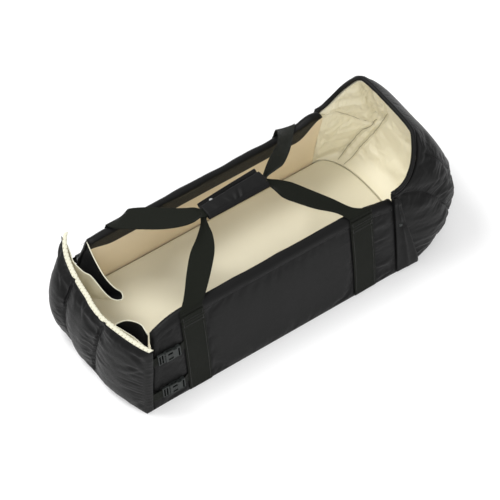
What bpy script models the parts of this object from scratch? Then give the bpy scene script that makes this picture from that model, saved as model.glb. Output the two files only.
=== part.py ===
"""Soft carrycot with an open padded hood, a foot flap that folds out, and two webbing carry handles.

Frame: metres, +Z up, floor at Z 0, +X towards the head end, -Y is the near side.
The origin is on the floor under the middle of the two handles' span and the cot's width.
"""

import math

import bmesh
import bpy
from mathutils import Matrix, Vector

# Body of the cot
BASE_WIDTH = 0.310  # outside, at the floor
TOP_WIDTH = 0.252  # outside, across the tops of the two long sides
SIDE_HEIGHT = 0.216  # floor to the top of the long sides
SIDE_THICKNESS = 0.018  # at the top roll
SIDE_THICKNESS_LOW = 0.011  # at the floor
SIDE_BELLY = 0.003  # how far the soft outside swells at half height
FOOT_END = 0.352  # origin to the foot ends of the long sides
HOOD_SEAM = 0.228  # origin to the seam where the hood starts
CLOTH = 0.002  # covers and linings with their backing
GAP = 0.0003  # clearance between pieces that touch
COVER_SHARES = (0.375, 0.75)  # of the cover's rows up the outside, and over the top roll
HEM_DEPTH = 0.048  # how far the side cover comes down inside
BASE_CLOTH = 0.003
BOARD = 0.003
BOARD_MARGIN = 0.006  # base board, in from the edge of the mattress

# Mattress
MATTRESS_TOP = 0.049  # floor to the top of its edge
MATTRESS_CROWN = 0.003
MATTRESS_HEAD_POWER = 2.4  # superellipse power of its head and foot edges
MATTRESS_SLACK = 0.0012  # between the mattress and the lining beside it
MATTRESS_HEAD = 0.060  # how far it reaches past the hood seam
MATTRESS_FOOT = 0.018  # how far it reaches past the foot ends of the sides
MATTRESS_EDGE_POWERS = (30, 14, 0.35)  # steepness at its ends, at its sides, and of both

# Hood
HOOD_FLOOR_REACH = 0.157  # hood seam to the head end, at the floor
HOOD_BELLY_REACH = 0.193  # control reach of the bulge between floor and rim
HOOD_RIM_REACH = 0.087  # hood seam to the rim
HOOD_HEIGHT = 0.309  # floor to the cloth under the rolled rim
HOOD_PUFF = 0.0075  # swell of the sides just past the seam
HOOD_RIM_SPREAD = 0.004  # how much wider than the sides the rim spreads
HOOD_LIP = 0.008  # thickness of the hood at its rim
HOOD_INNER_LOW = 0.140  # control reaches of the lining, above the mattress and under the rim
HOOD_INNER_HIGH = 0.165
HOOD_POWERS = (2.4, 7.0, 4.2)  # superellipse powers: floor, control between, rim
HOOD_INNER_POWERS = (2.4, 3.2)  # the lining's powers at the mattress and at the rim
HOOD_PUFF_POWER = 8  # how close to the seam the swell of the sides reaches
TUCK_SHARE = 0.12  # of the lining's height that is tucked behind the mattress
INNER_RISE_SHARES = (0.04, 0.52)  # of the lining's rise at its two middle control points
RIM_RADIUS = 0.0048
RIM_FALL = 1.3  # how late the rim starts down from its level part
PLEAT_THICKNESS = 0.002
PLEAT_LIFT = 0.001
PLEAT_WIDTHS = (0.004, 0.040)  # at the top and at the floor
PLEAT_SPAN_SHARES = (0.01, 0.97)  # of the hood's height, its foot and its top
SNAP_RADIUS = 0.0045
SNAP_HEIGHT = 0.002
SNAP_LEVEL = 0.135  # floor to the press stud on the pleat

# Foot flap
FLAP_THICKNESS = 0.0125
FLAP_BOWS = (0.030, 0.046, 0.034)  # how far it bows out: floor, control between, top
FLAP_NEAR_POWERS = (2.1, 1.65, 1.2)  # how square the bow is on the near half, floor to top
FLAP_FAR_POWERS = (2.2, 8.0, 1.2)  # and on the far half
FLAP_PUFF = 0.008  # swell of the quilted channels
FLAP_HEIGHTS = (0.198, 0.200, 0.213)  # near corner, middle, far corner
FLAP_LEANS = (0.008, 0.020)  # how far the near and far top corners lean in
FLAP_FLARE = 0.002  # wider at the top by this much a side
FLAP_LEAN_POWER = 6  # how close to the side edge the lean stays
FLAP_TOP_POWER = 3  # how close to the corner the top edge rises or falls
FLAP_SEAM_SHARES = (-1.0, -0.22, 0.48, 1.0)  # channel seams across the flap
STRIP_THICKNESS = 0.0025

# Foot gussets
GUSSET_CLOTH = 0.0015
GUSSET_RISE = 0.004  # above the mattress
GUSSET_INSET = 0.0007  # off the side lining and the flap lining
NEAR_TIP = (0.010, 0.080, 0.150)  # in from foot end, in from lining, height of the fold's tip
FAR_TIP = (0.050, 0.094, 0.142)
NEAR_SEAM = 0.030  # side edge of the flap to the top of the gusset's seam on it
FAR_SEAM = 0.050
TIP_WIDTH = 0.010
LEG_SHARE = 6 / 13  # of the gusset's cloth in each leg, the rest round its tip

# Handles: 50 mm webbing
WEBBING_WIDTH = 0.050
WEBBING = 0.0018
BAND_FOOT = 0.241  # origin to the middle of the band near the foot
BAND_HEAD = 0.150  # origin to the middle of the band near the hood
GRIP_WEBBING_WIDTH = 0.020  # the webbing folded to less than half its width in the grip
GRIP_HEIGHT = 0.286  # floor to the meeting face of the two webbings
GRIP_MIDDLE = -0.055
GRIP_LENGTH = 0.138
LEG_SHARES = (0.22, 0.55, 0.86)  # stations along a leg, from the side's top to the knee
LEG_TURNS = (0.12, 0.42, 0.72)  # how far the webbing has turned there, 1 when it lies in the grip
LEG_WAIST = 0.92
LEG_BULGE = (0.010, 0.008)  # of a leg's middle, towards the grip and up
KNEE_RUN = 0.020  # past the grip's end to where a leg starts down
KNEE_OUT = 0.016  # and how far sideways that is
WRAP_WIDTH = 0.038
WRAP_CLOTH = 0.0025
WRAP_ROOM = 0.0028  # free height over the upper webbing
WRAP_LIP = 0.006  # lower leaf reaches this far past the upper one
WRAP_BEND_SHARE = 0.3  # of the section's points that go round the fold
WRAP_GAPS = 1.5  # gaps between the grip's middle and a leaf
WRAP_FOLD_GAPS = 3  # gaps inside the fold
STUD_RADIUS = 0.0037
STUD_PITCH = 0.086
STUD_TAPER = 0.7

# Side release buckles for 20 mm webbing
TAB_WIDTH = 0.020
TAB = 0.0014
BUCKLE_WIDTH = 0.025
BUCKLE_THICKNESS = 0.009
FEMALE_LENGTH = 0.034
MALE_LENGTH = 0.016  # ladder frame, outside the female half
TONGUE_REACH = 0.015  # arms inside the female half
ARM_WIDTH = 0.0040
WALL = 0.0018
SLIDE_CLEARANCE = 0.0004
BUCKLE_MOUTH = 0.039  # foot ends of the sides to the mouth of the female half
BUCKLE_LEVELS = (0.043, 0.136)
BUCKLE_STANDOFF = 0.0006  # off the cover, which bows a little under it
SLOT = 0.0034  # webbing slots
BAR = 0.0030
CORNER = 0.0012  # edge rounding of the moulded halves
MOUTH_WALLS = 3  # walls from the mouth to the windows
WINDOW_WALLS = 2  # walls from the window over the tongue to the side
TONGUE_SHARE = 0.8  # of the arms' reach
HOOK_SHARE = 0.55  # of the arms' reach, where the hooks start
ARM_SHARES = (0.3, 1.1)  # of the arm's width, its outer and inner faces in from the hooks
FRAME_BAR_SHARE = 0.8  # of a bar, the plug's frame bars

CUT_OVER = 0.002  # how far a cutter runs past the face it cuts

HALF_SHARE = 0.5
STEP_SHARE = 0.004  # between the nearby places that a direction is taken from
RIM_STEP_SHARE = 0.02
SIDES = {"near": -1.0, "far": 1.0}


def clear_scene():
    """Remove every object that is in the file."""
    for item in list(bpy.data.objects):
        bpy.data.objects.remove(item, do_unlink=True)


def collection(name):
    """New collection linked to the scene."""
    made = bpy.data.collections.new(name)
    bpy.context.scene.collection.children.link(made)
    return made


clear_scene()
PARTS = collection("carrycot")
CUTTERS = collection("cutters")


def finish(name, colour, roughness, metallic=0.0):
    """Principled material with one colour, roughness and metallic value."""
    made = bpy.data.materials.new(name)
    made.use_nodes = True
    shader = made.node_tree.nodes["Principled BSDF"]
    shader.inputs["Base Color"].default_value = (*colour, 1.0)
    shader.inputs["Roughness"].default_value = roughness
    shader.inputs["Metallic"].default_value = metallic
    return made


FINISHES = {
    "outer": ((0.022, 0.022, 0.021), 0.85, 0.0),
    "webbing": ((0.016, 0.019, 0.015), 0.8, 0.0),
    "lining": ((0.72, 0.67, 0.53), 0.7, 0.0),
    "ribbed": ((0.58, 0.47, 0.33), 0.8, 0.0),
    "cream": ((0.78, 0.75, 0.64), 0.75, 0.0),
    "buckle": ((0.035, 0.04, 0.038), 0.4, 0.0),
    "steel": ((0.62, 0.63, 0.62), 0.3, 1.0),
    "foam": ((0.75, 0.73, 0.66), 0.9, 0.0),
    "board": ((0.10, 0.10, 0.10), 0.7, 0.0),
}


def place(name, mesh, kind, holder=None):
    """Object of its own with its own material, in the parts collection or the one given."""
    made = bpy.data.objects.new(name, mesh)
    mesh.materials.clear()
    mesh.materials.append(finish(name, *FINISHES[kind]))
    (holder or PARTS).objects.link(made)
    return made


def slab(name, first, second, columns, rows, kind):
    """Closed solid between two surfaces, each a function of two shares from 0 to 1."""
    bm = bmesh.new()
    bmesh.ops.create_grid(bm, x_segments=columns, y_segments=rows, size=HALF_SHARE)
    grown = bmesh.ops.extrude_face_region(bm, geom=bm.faces[:])["geom"]
    raised = {item for item in grown if isinstance(item, bmesh.types.BMVert)}
    for vert in bm.verts:
        surface = second if vert in raised else first
        vert.co = surface(vert.co.x + HALF_SHARE, vert.co.y + HALF_SHARE)
    bmesh.ops.recalc_face_normals(bm, faces=bm.faces[:])
    if bm.calc_volume(signed=True) < 0.0:
        bmesh.ops.reverse_faces(bm, faces=bm.faces[:])
    mesh = bpy.data.meshes.new(name)
    bm.to_mesh(mesh)
    bm.free()
    mesh.shade_smooth()
    return place(name, mesh, kind)


def offset(surface, depth):
    """Surface moved along its own normal by depth, found from nearby points on it."""
    step = STEP_SHARE

    def moved(u, v):
        across = surface(min(u + step, 1.0), v) - surface(max(u - step, 0.0), v)
        up = surface(u, min(v + step, 1.0)) - surface(u, max(v - step, 0.0))
        return surface(u, v) + across.cross(up).normalized() * depth

    return moved


def between(low, high, share):
    """Value at a share of the way from low to high."""
    return low + (high - low) * share


def ease(share):
    """Smooth step from 0 to 1."""
    share = min(max(share, 0.0), 1.0)
    return share * share * (3.0 - 2.0 * share)


def outline_plate(name, points, bottom, top, kind):
    """Flat plate from a plan outline, made as a filled curve and turned into a mesh."""
    curve = bpy.data.curves.new(name, "CURVE")
    curve.dimensions = "2D"
    curve.fill_mode = "BOTH"
    curve.extrude = (top - bottom) / 2
    spline = curve.splines.new("POLY")
    spline.points.add(len(points) - 1)
    for slot, (x, y) in zip(spline.points, points):
        slot.co = (x, y, 0.0, 1.0)
    spline.use_cyclic_u = True
    holder = bpy.data.objects.new(name + "_curve", curve)
    CUTTERS.objects.link(holder)
    bpy.context.view_layer.update()
    graph = bpy.context.evaluated_depsgraph_get()
    mesh = bpy.data.meshes.new_from_object(holder.evaluated_get(graph))
    bpy.data.objects.remove(holder)
    bm = bmesh.new()
    bm.from_mesh(mesh)
    bmesh.ops.remove_doubles(bm, verts=bm.verts[:], dist=GAP / 10)
    bmesh.ops.recalc_face_normals(bm, faces=bm.faces[:])
    bm.to_mesh(mesh)
    bm.free()
    made = place(name, mesh, kind)
    made.location.z = (top + bottom) / 2
    return made


# Long sides


def outside(z):
    """Half width of the cot's outer face at height z."""
    lean = (BASE_WIDTH - TOP_WIDTH) / 2 * z / SIDE_HEIGHT
    belly = SIDE_BELLY * math.sin(math.pi * min(z / SIDE_HEIGHT, 1.0))
    return BASE_WIDTH / 2 - lean + belly


def inside(z):
    """Half width of the cot between the inner faces of its long sides at height z."""
    return outside(z) - between(SIDE_THICKNESS_LOW, SIDE_THICKNESS, min(z / SIDE_HEIGHT, 1.0))


def side_face(side, depth, hem_from_floor):
    """Surface of a long side, depth under its outer skin: up the outside, over the top, down inside."""
    roll = SIDE_THICKNESS / 2
    shoulder = SIDE_HEIGHT - roll
    up_share, over_share = COVER_SHARES

    def point(u, v):
        x = between(-FOOT_END, HOOD_SEAM - GAP, u)
        if v <= up_share:
            z = between(BASE_CLOTH + GAP, shoulder, v / up_share)
            y = outside(z) - depth
        elif v < over_share:
            turn = math.pi * (v - up_share) / (over_share - up_share)
            z = shoulder + (roll - depth) * math.sin(turn)
            y = (outside(shoulder) + inside(shoulder)) / 2 + (roll - depth) * math.cos(turn)
        else:
            z = between(shoulder, hem_from_floor, (v - over_share) / (1.0 - over_share))
            y = inside(z) + depth
        return Vector((x, side * y, z))

    return point


def upright_face(side, depth, low, high, from_inside=True):
    """Upright surface of a long side at a depth from one of its skins, between two heights."""

    def point(u, v):
        z = between(low, high, v)
        y = inside(z) + depth if from_inside else outside(z) - depth
        return Vector((between(-FOOT_END, HOOD_SEAM - GAP, u), side * y, z))

    return point


def long_side(label, side):
    """Cover, foam board and ribbed lining of one long side."""
    hem = SIDE_HEIGHT - HEM_DEPTH
    slab(label + "_side_cover", side_face(side, 0.0, hem), side_face(side, CLOTH, hem), 6, 16, "outer")
    low = BASE_CLOTH + GAP
    layer = CLOTH + GAP
    top = SIDE_HEIGHT - SIDE_THICKNESS / 2 - layer - CLOTH
    slab(
        label + "_side_board",
        upright_face(side, layer, low, top),
        upright_face(side, layer, low, top, from_inside=False),
        2,
        6,
        "foam",
    )
    slab(
        label + "_side_lining",
        upright_face(side, 0.0, low, hem - GAP),
        upright_face(side, CLOTH, low, hem - GAP),
        3,
        6,
        "ribbed",
    )


# Hood


def superellipse(angle, reach, half_width, power):
    """Point of a superellipse, reach along X and half_width along Y, at a polar angle."""
    x, y = math.cos(angle), math.sin(angle)
    radius = (abs(x / reach) ** power + abs(y / half_width) ** power) ** (-1.0 / power)
    return radius * x, radius * y


def rim_height(angle):
    """Height of the hood's rim: level across the head end, falling to the sides' tops."""
    turn = min((math.pi / 2 - abs(angle)) / (math.pi / 4), 1.0)
    return between(SIDE_HEIGHT, HOOD_HEIGHT, ease(max(turn, 0.0) ** RIM_FALL))


def quadratic(values, t):
    """Value of a quadratic Bezier with three control values."""
    w = 1.0 - t
    return w * w * values[0] + (w * t + w * t) * values[1] + t * t * values[2]


def hood_angle(u):
    """Polar angle of a share round the hood, from the near seam to the far seam."""
    return math.pi * (u - HALF_SHARE)


def hood_outside(u, v):
    """Outer skin of the hood: u round the head end, v from the floor to the rim."""
    angle = hood_angle(u)
    reach = quadratic((HOOD_FLOOR_REACH, HOOD_BELLY_REACH, HOOD_RIM_REACH), v)
    floor = BASE_CLOTH + GAP
    half_width = outside(between(floor, SIDE_HEIGHT, v)) + HOOD_RIM_SPREAD * v * v
    x, y = superellipse(angle, reach, half_width, quadratic(HOOD_POWERS, v))
    puff = HOOD_PUFF * math.sin(math.pi * v) * (1.0 - abs(math.sin(angle)) ** HOOD_PUFF_POWER)
    z = between(floor, rim_height(angle), v)
    return Vector((HOOD_SEAM + x + puff * math.cos(angle), y + puff * math.sin(angle), z))


def bezier(values, t):
    """Value of a cubic Bezier with four control values."""
    w = 1.0 - t
    weights = (w**3, 3 * w * w * t, 3 * w * t * t, t**3)
    return sum(a * b for a, b in zip(weights, values))


def hood_inside(u, v):
    """Visible face of the hood's lining: a tuck behind the mattress, then a hollow up to the rim."""
    angle = hood_angle(u)
    low = MATTRESS_TOP + MATTRESS_CROWN
    floor = BASE_CLOTH + BOARD + GAP * 2
    top = rim_height(angle)
    t = max((v - TUCK_SHARE) / (1.0 - TUCK_SHARE), 0.0)
    reaches = (MATTRESS_HEAD, HOOD_INNER_LOW, HOOD_INNER_HIGH, HOOD_RIM_REACH - HOOD_LIP)
    rise = top - low
    first, second = (low + rise * share for share in INNER_RISE_SHARES)
    z = bezier((low, first, second, top), t)
    if v < TUCK_SHARE:
        z = between(floor, low, v / TUCK_SHARE)
    wall = inside(min(z, SIDE_HEIGHT))
    half_width = between(wall, outside(SIDE_HEIGHT) + HOOD_RIM_SPREAD - HOOD_LIP, t**3)
    x, y = superellipse(angle, bezier(reaches, t), half_width, between(*HOOD_INNER_POWERS, t))
    return Vector((HOOD_SEAM + x, y, z))


def hood():
    """Outer shell, wadding, lining and rolled rim of the head end."""
    columns, rows = 26, 10
    slab("hood_shell", hood_outside, offset(hood_outside, -CLOTH), columns, rows, "outer")
    layer = CLOTH + GAP
    slab("hood_wadding", offset(hood_outside, -layer), offset(hood_inside, layer), columns, rows, "foam")
    slab("hood_lining", hood_inside, offset(hood_inside, CLOTH), columns, rows, "lining")
    rim_roll()


def rim_middle(share):
    """Middle of the hood's top edge at a share round it."""
    return (hood_outside(share, 1.0) + hood_inside(share, 1.0)) / 2


def rim_rise(share):
    """Direction in which the hood's wall ends at its rim, square to the rim's own run."""
    step = RIM_STEP_SHARE
    below = (hood_outside(share, 1.0 - step) + hood_inside(share, 1.0 - step)) / 2
    run = rim_middle(min(share + step, 1.0)) - rim_middle(max(share - step, 0.0))
    rise = rim_middle(share) - below
    return (rise - run.normalized() * rise.dot(run.normalized())).normalized()


def rim_roll():
    """Rolled edge lying on the hood's rim, as a bevelled curve."""
    count = 26
    curve = bpy.data.curves.new("hood_rim", "CURVE")
    curve.dimensions = "3D"
    curve.bevel_depth = RIM_RADIUS
    curve.bevel_resolution = 1
    curve.use_fill_caps = True
    spline = curve.splines.new("POLY")
    spline.points.add(count)
    for index, slot in enumerate(spline.points):
        share = index / count
        slot.co = (*(rim_middle(share) + rim_rise(share) * (RIM_RADIUS + CLOTH + GAP * 2)), 1.0)
    made = bpy.data.objects.new("hood_rim", curve)
    curve.materials.append(finish("hood_rim", *FINISHES["outer"]))
    PARTS.objects.link(made)


def pleat(label, side):
    """Folded pleat lying on the hood beside its seam, widest at the floor, with its press stud."""

    def on_hood(depth):
        raised = offset(hood_outside, depth)

        def point(u, v):
            width = between(PLEAT_WIDTHS[1], PLEAT_WIDTHS[0], v)
            turn = math.atan2(width * u, TOP_WIDTH / 2) / math.pi
            share = turn if side < 0 else 1.0 - turn
            return raised(share, between(*PLEAT_SPAN_SHARES, v))

        return point

    slab(label + "_hood_pleat", on_hood(PLEAT_LIFT), on_hood(PLEAT_LIFT + PLEAT_THICKNESS), 2, 10, "outer")


def press_stud(name, centre, normal, radius, height, kind):
    """Low round cap with a rim, standing on a face."""
    bm = bmesh.new()
    turn = normal.to_track_quat("Z", "Y").to_matrix().to_4x4()
    shift = Matrix.Translation(centre + normal * height / 2)
    bmesh.ops.create_cone(
        bm,
        cap_ends=True,
        segments=16,
        radius1=radius,
        radius2=radius * STUD_TAPER,
        depth=height,
        matrix=shift @ turn,
    )
    mesh = bpy.data.meshes.new(name)
    bm.to_mesh(mesh)
    bm.free()
    place(name, mesh, kind)


def pleat_snap(label, side):
    """Press stud on a pleat."""
    level = (SNAP_LEVEL - BASE_CLOTH) / (SIDE_HEIGHT - BASE_CLOTH)
    width = between(PLEAT_WIDTHS[1], PLEAT_WIDTHS[0], level) / 2
    turn = math.atan2(width, TOP_WIDTH / 2) / math.pi
    share = turn if side < 0 else 1.0 - turn
    seat = offset(hood_outside, PLEAT_LIFT + PLEAT_THICKNESS + GAP)(share, level)
    normal = (offset(hood_outside, 1.0)(share, level) - hood_outside(share, level)).normalized()
    press_stud(label + "_hood_snap", seat, normal, SNAP_RADIUS, SNAP_HEIGHT, "buckle")


# Foot flap


def flap_bow(across, v):
    """How far the flap bows out from its side edges, at a share across from -1 to 1 and a share up."""
    powers = FLAP_NEAR_POWERS if across < 0 else FLAP_FAR_POWERS
    lean = FLAP_LEANS[0] if across < 0 else FLAP_LEANS[1]
    bow = quadratic(FLAP_BOWS, v) * (1.0 - abs(across) ** quadratic(powers, v))
    return bow - lean * v * v * abs(across) ** FLAP_LEAN_POWER


def channel_puff(across, v):
    """Swell of the quilted channel that a place on the flap lies in."""
    for low, high in zip(FLAP_SEAM_SHARES, FLAP_SEAM_SHARES[1:]):
        if low <= across <= high:
            inner = (across - low) / (high - low)
            return FLAP_PUFF * math.sqrt(math.sin(math.pi * inner) * math.sin(math.pi * v))
    return 0.0


def flap_top(across):
    """Height of the flap's top edge under its strip."""
    corner = FLAP_HEIGHTS[0] if across < 0 else FLAP_HEIGHTS[2]
    return between(FLAP_HEIGHTS[1], corner, abs(across) ** FLAP_TOP_POWER)


def flap_face(depth, quilted):
    """Surface of the flap at a depth behind its outer face."""

    def point(u, v):
        across = u + u - 1.0
        floor = BASE_CLOTH + GAP
        half_width = BASE_WIDTH / 2 + FLAP_FLARE * v
        out = flap_bow(across, v) + (channel_puff(across, v) if quilted else 0.0)
        x = -FOOT_END - GAP * 2 - FLAP_THICKNESS - out + depth
        return Vector((x, across * half_width, between(floor, flap_top(across), v)))

    return point


def foot_flap():
    """Quilted cover, wadding, lining and edge strip of the flap."""
    columns, rows = 24, 6
    layer = CLOTH + GAP
    deep = FLAP_THICKNESS
    slab("flap_cover", flap_face(0.0, True), flap_face(CLOTH, True), columns, rows, "outer")
    slab("flap_wadding", flap_face(layer, True), flap_face(deep - layer, False), columns, rows, "foam")
    slab("flap_lining", flap_face(deep - CLOTH, False), flap_face(deep, False), columns, rows, "lining")

    def strip(height):
        front, back = flap_face(0.0, False), flap_face(deep, False)

        def point(u, v):
            across = front(u, 1.0).lerp(back(u, 1.0), v)
            return across + Vector((0.0, 0.0, height))

        return point

    slab("flap_edge_strip", strip(GAP), strip(GAP + STRIP_THICKNESS), columns, 1, "cream")


def flap_share(side, y, z):
    """Shares across and up the flap of a place at half width y and height z."""
    level = min(z / FLAP_HEIGHTS[1], 1.0)
    return (1.0 + side * y / (BASE_WIDTH / 2)) / 2, level


def gusset(label, side, tip, seam):
    """V fold of cloth between the end of a long side and the flap, its tip inside the cot."""
    low_z = MATTRESS_TOP + MATTRESS_CROWN + GUSSET_RISE
    high_z = min(flap_top(side), SIDE_HEIGHT) - SIDE_THICKNESS / 2
    out, inward, tip_z = tip
    inner_flap = flap_face(FLAP_THICKNESS + GUSSET_INSET + GUSSET_CLOTH, False)

    def corners(v):
        z = between(low_z, high_z, v)
        fold_z = between(low_z, tip_z, v)
        wall = inside(z) - GUSSET_INSET - GUSSET_CLOTH
        on_side = Vector((-FOOT_END + GUSSET_INSET, side * wall, z))
        depth = between(GUSSET_INSET, inward, v)
        reach = between(GUSSET_INSET, out, v)
        fold = Vector((-FOOT_END + reach, side * (inside(fold_z) - GUSSET_INSET - depth), fold_z))
        second = fold - Vector((between(GUSSET_CLOTH * 3, TIP_WIDTH, v), 0.0, 0.0))
        seam_y = wall - between(0.0, seam, v)
        spot = inner_flap(*flap_share(side, seam_y, z))
        return on_side, fold, second, Vector((spot.x, side * seam_y, z))

    def point(u, v):
        on_side, fold, second, on_flap = corners(v)
        if u <= LEG_SHARE:
            return on_side.lerp(fold, u / LEG_SHARE)
        if u < 1.0 - LEG_SHARE:
            return fold.lerp(second, (u - LEG_SHARE) / (1.0 - LEG_SHARE - LEG_SHARE))
        return second.lerp(on_flap, (u - 1.0 + LEG_SHARE) / LEG_SHARE)

    slab(label + "_foot_gusset", point, offset(point, GUSSET_CLOTH), 13, 6, "outer")


# Base and mattress


def base_outline():
    """Closed plan outline of the base cloth, under the flap, the sides and the hood."""
    count = 24
    points = []
    for index in range(count + 1):
        face = flap_face(0.0, False)(index / count, 0.0)
        points.append((face.x, face.y))
    for index in range(count + 1):
        angle = math.pi / 2 - math.pi * index / count
        x, y = superellipse(angle, HOOD_FLOOR_REACH, BASE_WIDTH / 2, HOOD_POWERS[0])
        points.append((HOOD_SEAM + x, y))
    return points


def mattress_outline(inset):
    """Closed plan outline of the mattress, in from its edge by inset."""
    count = 20
    half_width = inside(MATTRESS_TOP) - MATTRESS_SLACK - inset
    points = []
    for sense, seam, reach in ((-1.0, -FOOT_END, MATTRESS_FOOT), (1.0, HOOD_SEAM, MATTRESS_HEAD)):
        for index in range(count + 1):
            angle = sense * math.pi * (index / count - HALF_SHARE)
            x, y = superellipse(angle, reach - inset, half_width, MATTRESS_HEAD_POWER)
            points.append((seam + sense * x, sense * y * sense * -1.0))
    return points


def base():
    """Base cloth on the floor and the stiff board on it."""
    outline_plate("base_cloth", base_outline(), 0.0, BASE_CLOTH, "outer")
    low = BASE_CLOTH + GAP
    outline_plate("base_board", mattress_outline(BOARD_MARGIN), low, low + BOARD, "board")


def mattress_surface(inset, drop):
    """Top and sides of the mattress, in from its skin by inset: steep at the edge, crowned on top."""
    floor = BASE_CLOTH + BOARD + GAP * 2

    def point(u, v):
        along = math.sin(math.pi * (u - HALF_SHARE))
        across = math.sin(math.pi * (v - HALF_SHARE))
        half_width = inside(MATTRESS_TOP) - MATTRESS_SLACK - inset
        head = MATTRESS_HEAD - MATTRESS_SLACK - CLOTH - inset
        bow = (1.0 - abs(across) ** MATTRESS_HEAD_POWER) ** (1.0 / MATTRESS_HEAD_POWER)
        head_x = HOOD_SEAM + head * bow
        foot_x = -FOOT_END + MATTRESS_SLACK + inset - MATTRESS_FOOT * bow
        x = between(foot_x, head_x, (along + 1.0) / 2)
        end_power, side_power, power = MATTRESS_EDGE_POWERS
        swell = ((1.0 - abs(along) ** end_power) * (1.0 - abs(across) ** side_power)) ** power
        crown = MATTRESS_CROWN * (1.0 - along**2) * (1.0 - across**2)
        height = MATTRESS_TOP - floor - drop
        return Vector((x, across * half_width, floor + swell * height + crown * swell))

    return point


def mattress():
    """Foam core and the cream cover drawn over it, open underneath."""
    outer = mattress_surface(0.0, 0.0)
    inner = mattress_surface(CLOTH, CLOTH)
    core = mattress_surface(CLOTH + GAP * 3, CLOTH + GAP)
    floor = BASE_CLOTH + BOARD + GAP * 2

    def underside(u, v):
        spot = core(u, v)
        return Vector((spot.x, spot.y, floor))

    slab("mattress_cover", outer, inner, 18, 14, "cream")
    slab("mattress_core", core, underside, 18, 14, "foam")


# Handles


def side_band(label, side, name, middle):
    """Webbing sewn down the outside of a long side, from its top to the floor."""

    def face(depth):
        def point(u, v):
            z = between(BASE_CLOTH + GAP, SIDE_HEIGHT, v)
            x = middle + WEBBING_WIDTH * (u - HALF_SHARE)
            return Vector((x, side * (outside(z) + depth), z))

        return point

    slab(f"{label}_band_{name}", face(GAP), face(GAP + WEBBING), 1, 9, "webbing")


def handle_pivot(side):
    """Point on the line where a handle bends over the top of its side."""
    y = outside(SIDE_HEIGHT) + GAP + WEBBING / 2
    return Vector((0.0, side * y, SIDE_HEIGHT + WEBBING / 2 + GAP))


def handle_path(side):
    """Corner points of a handle's middle line, with the webbing's half width and lie at each."""
    pivot = handle_pivot(side)
    level = GRIP_HEIGHT + side * (WEBBING / 2 + GAP / 2)
    low_end, high_end = GRIP_MIDDLE - GRIP_LENGTH / 2, GRIP_MIDDLE + GRIP_LENGTH / 2
    narrow, wide = GRIP_WEBBING_WIDTH / 2, WEBBING_WIDTH / 2
    knee_y = side * KNEE_OUT
    feet = (Vector((-BAND_FOOT, pivot.y, pivot.z)), Vector((BAND_HEAD, pivot.y, pivot.z)))
    knees = (
        Vector((low_end - KNEE_RUN, knee_y, level)),
        Vector((high_end + KNEE_RUN, knee_y, level)),
    )
    grips = (Vector((low_end - GAP, 0.0, level)), Vector((high_end + GAP, 0.0, level)))
    stations = []
    for foot, knee, grip, sense in zip(feet, knees, grips, (1.0, -1.0)):
        bulge = Vector((sense * LEG_BULGE[0], 0.0, LEG_BULGE[1]))
        ankle = narrow + KNEE_OUT / 4
        leg = [
            (foot, wide, 0.0),
            (foot.lerp(knee, LEG_SHARES[0]) + bulge * LEG_SHARES[1], wide, LEG_TURNS[0]),
            (foot.lerp(knee, LEG_SHARES[1]) + bulge, wide * LEG_WAIST, LEG_TURNS[1]),
            (foot.lerp(knee, LEG_SHARES[2]) + bulge * LEG_SHARES[0], ankle, LEG_TURNS[2]),
            (knee, narrow, LEG_TURNS[2]),
            (grip, narrow, 1.0),
        ]
        quarter = math.pi / 2
        stations.append(
            [(at, half, quarter - sense * (1.0 - turn) * quarter) for at, half, turn in leg]
        )
    return stations[0] + stations[1][::-1]


def smooth_run(values, t):
    """Catmull-Rom value at share t through a list of values that can be numbers or vectors."""
    last = len(values) - 1
    index = min(int(t * last), last - 1)
    share = t * last - index
    before, start = values[max(index - 1, 0)], values[index]
    end, after = values[index + 1], values[min(index + 2, last)]
    slope_in, slope_out = (end - before) / 2, (after - start) / 2
    gain = end - start
    cubic = (slope_in + slope_out - gain - gain) * share**3
    square = (gain + gain + gain - slope_in - slope_in - slope_out) * share**2
    return start + slope_in * share + square + cubic


def handle(label, side):
    """Webbing loop from one band over the grip to the other band."""
    stations = handle_path(side)
    spots, halves, turns = (list(column) for column in zip(*stations))
    step = STEP_SHARE

    def face(depth):
        def point(u, v):
            ahead = smooth_run(spots, min(u + step, 1.0)) - smooth_run(spots, max(u - step, 0.0))
            turn = smooth_run(turns, u)
            wide = Vector((math.cos(turn), side * math.sin(turn), 0.0))
            normal = wide.cross(ahead).normalized() * -side
            half = smooth_run(halves, u)
            return smooth_run(spots, u) + wide * half * (v + v - 1.0) + normal * depth

        return point

    slab(label + "_handle", face(-WEBBING / 2), face(WEBBING / 2), 44, 2, "webbing")


def wrap_section(room, depth):
    """Cross section of the wrap's fixed leaf: under the webbing and up round the near fold."""
    low = -(WEBBING + GAP * WRAP_GAPS) - depth
    radius = (WEBBING * 2 + GAP * WRAP_FOLD_GAPS + room) / 2 + depth
    middle = low + radius
    turn_y = -(WRAP_WIDTH / 2 - WRAP_CLOTH - radius + depth)
    lip = WRAP_WIDTH / 2 + WRAP_LIP

    def point(v):
        if v > WRAP_BEND_SHARE:
            share = (v - WRAP_BEND_SHARE) / (1.0 - WRAP_BEND_SHARE)
            return Vector((0.0, between(turn_y, lip, share), low))
        turn = math.pi * (1.0 - v / WRAP_BEND_SHARE)
        y = turn_y - radius * math.sin(turn)
        return Vector((0.0, y, middle - radius * math.cos(turn)))

    return point


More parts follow.
